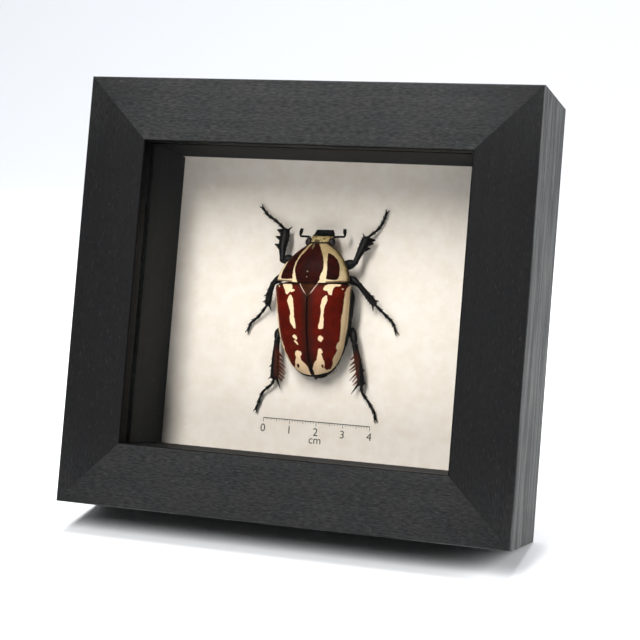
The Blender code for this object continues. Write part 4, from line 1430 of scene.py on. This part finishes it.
# %% [markdown]
# An eye is a dark red-brown bead made of hundreds of tiny lenses. The bead is a sphere set
# into the side of the head, and the lenses are a honeycomb of cells in its bump.

# %% Eyes
def eye_finish():
    material, place = start_finish("eye")
    lens = pits(place, 6500)
    colour = mix(step(lens, 0.1, 0.6), paint(40, 18, 13), paint(16, 8, 7))
    skin = relief(1 - lens, 0.00004, 0.5)
    return end_finish(material, {
        "Base Color": colour, "Roughness": 0.26 + lens * 0.1, "Normal": skin,
        "Specular IOR Level": 0.3,
    })


eye_material = eye_finish()
for name, side in (("eye_left", -1), ("eye_right", 1)):
    shape = bmesh.new()
    add_bead(shape, head_place(side * EYE_ACROSS, EYE_AHEAD, EYE_HEIGHT), EYE_RADII, 32, 20)
    finish_piece(name, shape, eye_material, "black_shell", crease=180)

# %% [markdown]
# Hairs are thin cones. The hind shins carry a fringe of red-brown hairs on the side towards
# the body. The hairs of a tuft start side by side and lean together to one tip, as on a
# brush that was wet, and that leaves gaps between the tufts. Short bristles stand at the
# tail. Every hair differs a little, from a random generator with a fixed seed.

# %% Hairs
rng = random.Random(5)


def hair_finish():
    material, place = start_finish("hair")
    tone = mix(step(speckle(place, 900), 0.35, 0.65), paint(72, 28, 12), paint(132, 64, 32))
    return end_finish(material, {"Base Color": tone, "Roughness": 0.45})


TUFTS, TUFT_HAIRS = 7, 16
TUFT_START, TUFT_END = 0.26, 0.90
TAIL_HAIRS = 34
HAIR_RADIUS, BRISTLE_RADIUS = 0.10, 0.07
hair_material = hair_finish()


def make_fringe(name, leg, side):
    """A brush of hairs on one side of a hind shin."""
    shape = bmesh.new()
    shin = leg_paths(leg)[1]
    for tuft in range(TUFTS):
        share = TUFT_START + (TUFT_END - TUFT_START) * tuft / (TUFTS - 1)
        share += rng.uniform(-0.016, 0.016)
        heading = heading_at(shin, share)
        out = beside(heading, side)
        edge = shin_size(leg["widths"], share)[0]
        reach = rng.uniform(2.1, 2.8) * (1.15 - abs(share - 0.62))
        lean_ahead = rng.uniform(0.5, 1.0)
        tip = along(shin, share) + (out * (edge * 0.8 + reach) + heading * reach * lean_ahead) * MM
        for _ in range(TUFT_HAIRS):
            root_share = share + rng.uniform(-0.030, 0.030)
            aside = out * edge * 0.8 + Vector((0, rng.uniform(-0.6, 0.4), 0))
            root = along(shin, root_share) + aside * MM
            stray = Vector([rng.uniform(-0.18, 0.18) for _ in range(3)])
            add_thorn(shape, root, tip + stray * MM, HAIR_RADIUS, 4)
    return finish_piece(name, shape, hair_material, "black_shell")


def make_tail_hairs():
    """Short bristles round the tip of the body."""
    shape = bmesh.new()
    for _ in range(TAIL_HAIRS):
        across = rng.uniform(0.5, 8.0)
        behind = 33.6 - 0.045 * across * across
        height = rng.uniform(3.0, 4.8)
        root = hindbody(across, behind - 0.8, height)
        spread = across * 0.12 + rng.uniform(-0.3, 0.3)
        reach = behind + rng.uniform(0.3, 1.1)
        tip = hindbody(across + spread, reach, height - rng.uniform(0.0, 0.6))
        add_thorn(shape, root, tip, BRISTLE_RADIUS, 4)
    return finish_piece("tail_hairs", shape, hair_material, "black_shell")


make_fringe("fringe_left", LEGS["hind_leg_left"], 1)
make_fringe("fringe_right", LEGS["hind_leg_right"], -1)
make_tail_hairs()

# %% [markdown]
# The photograph was lit in a plain white studio: soft light from above and a little to the
# left, a bright white surround that shines on the frame's right side, and a white table that
# takes a soft shadow under the frame. The key lamp is tall and narrow: below the top rail its
# shadow fades over a long way, and beside the left rail hardly any falls. In the photograph
# the frame leans back on its rear edge, so here it is the table, the backdrop and the lamps
# that are leant the other way instead. Large area lamps give the soft edges.

# %% Studio
LEAN_BACK = math.radians(15)
FLOOR_REACH, BACKDROP_HEIGHT, FLOOR_CURVE = 1.5, 1.8, 0.7
BACKDROP_WHITE = (0.68, 0.70, 0.73, 1.0)
REAR_FOOT = Vector((0, cad_box[1].y, 0))
lean = Matrix.Translation(REAR_FOOT) @ Matrix.Rotation(LEAN_BACK, 4, "X")


def make_floor():
    shape = bmesh.new()
    bmesh.ops.create_grid(shape, x_segments=1, y_segments=1, size=FLOOR_REACH)
    back = [edge for edge in shape.edges if all(vert.co.y > 0 for vert in edge.verts)]
    raised, _ = extrude_open(shape, back)
    bmesh.ops.translate(shape, verts=raised, vec=(0, 0, BACKDROP_HEIGHT))
    corner = [edge for edge in shape.edges if not edge.is_boundary]
    bmesh.ops.bevel(
        shape, geom=corner, offset=FLOOR_CURVE, affect="EDGES", segments=16,
        profile=0.5, material=-1,
    )
    bmesh.ops.transform(shape, matrix=lean, verts=shape.verts)
    mesh = bpy.data.meshes.new("floor")
    shape.to_mesh(mesh)
    shape.free()
    mesh.shade_smooth()
    material, place = start_finish("studio_white")
    clouds = step(speckle(place, 3, 2.0), 0.3, 0.7)
    tone = mix(clouds, (0.84, 0.85, 0.87, 1.0), (0.86, 0.87, 0.88, 1.0))
    behind = step(parts_of(place)[1], 0.0, 0.9)
    tone = mix(behind, tone, BACKDROP_WHITE)
    mesh.materials.append(end_finish(material, {"Base Color": tone, "Roughness": 0.9}))
    floor = bpy.data.objects.new("floor", mesh)
    scene.collection.objects.link(floor)


def add_lamp(name, place, target, size, power):
    """An oval area lamp; size is its width and its height."""
    lamp = bpy.data.lights.new(name, "AREA")
    lamp.shape = "ELLIPSE"
    lamp.size, lamp.size_y = size
    lamp.energy = power
    holder = bpy.data.objects.new(name, lamp)
    place, target = lean @ Vector(place), lean @ Vector(target)
    toward = (target - place).to_track_quat("-Z", "Y").to_matrix().to_4x4()
    holder.matrix_world = Matrix.Translation(place) @ toward
    scene.collection.objects.link(holder)


make_floor()
add_lamp("key", (-0.25, -1.15, 1.38), (0.0, 0.0, 0.075), (0.42, 1.35), 33.0)
add_lamp("overhead", (-0.1, 0.25, 1.28), (0.0, 0.05, 0.0), (0.9, 0.9), 18.5)
add_lamp("backdrop", (-1.3, 0.45, 0.9), (-1.0, 1.4, 0.1), (0.8, 0.8), 4.8)
add_lamp("side", (0.95, 0.05, 0.42), (0.08, 0.0, 0.03), (0.6, 0.6), 9.5)
world = bpy.data.worlds.new("studio")
world.use_nodes = True
for name, value in (("Color", (0.93, 0.96, 1.0, 1.0)), ("Strength", 0.10)):
    world.node_tree.nodes["Background"].inputs[name].default_value = value
scene.world = world
scene.view_settings.view_transform = "Standard"

# %% [markdown]
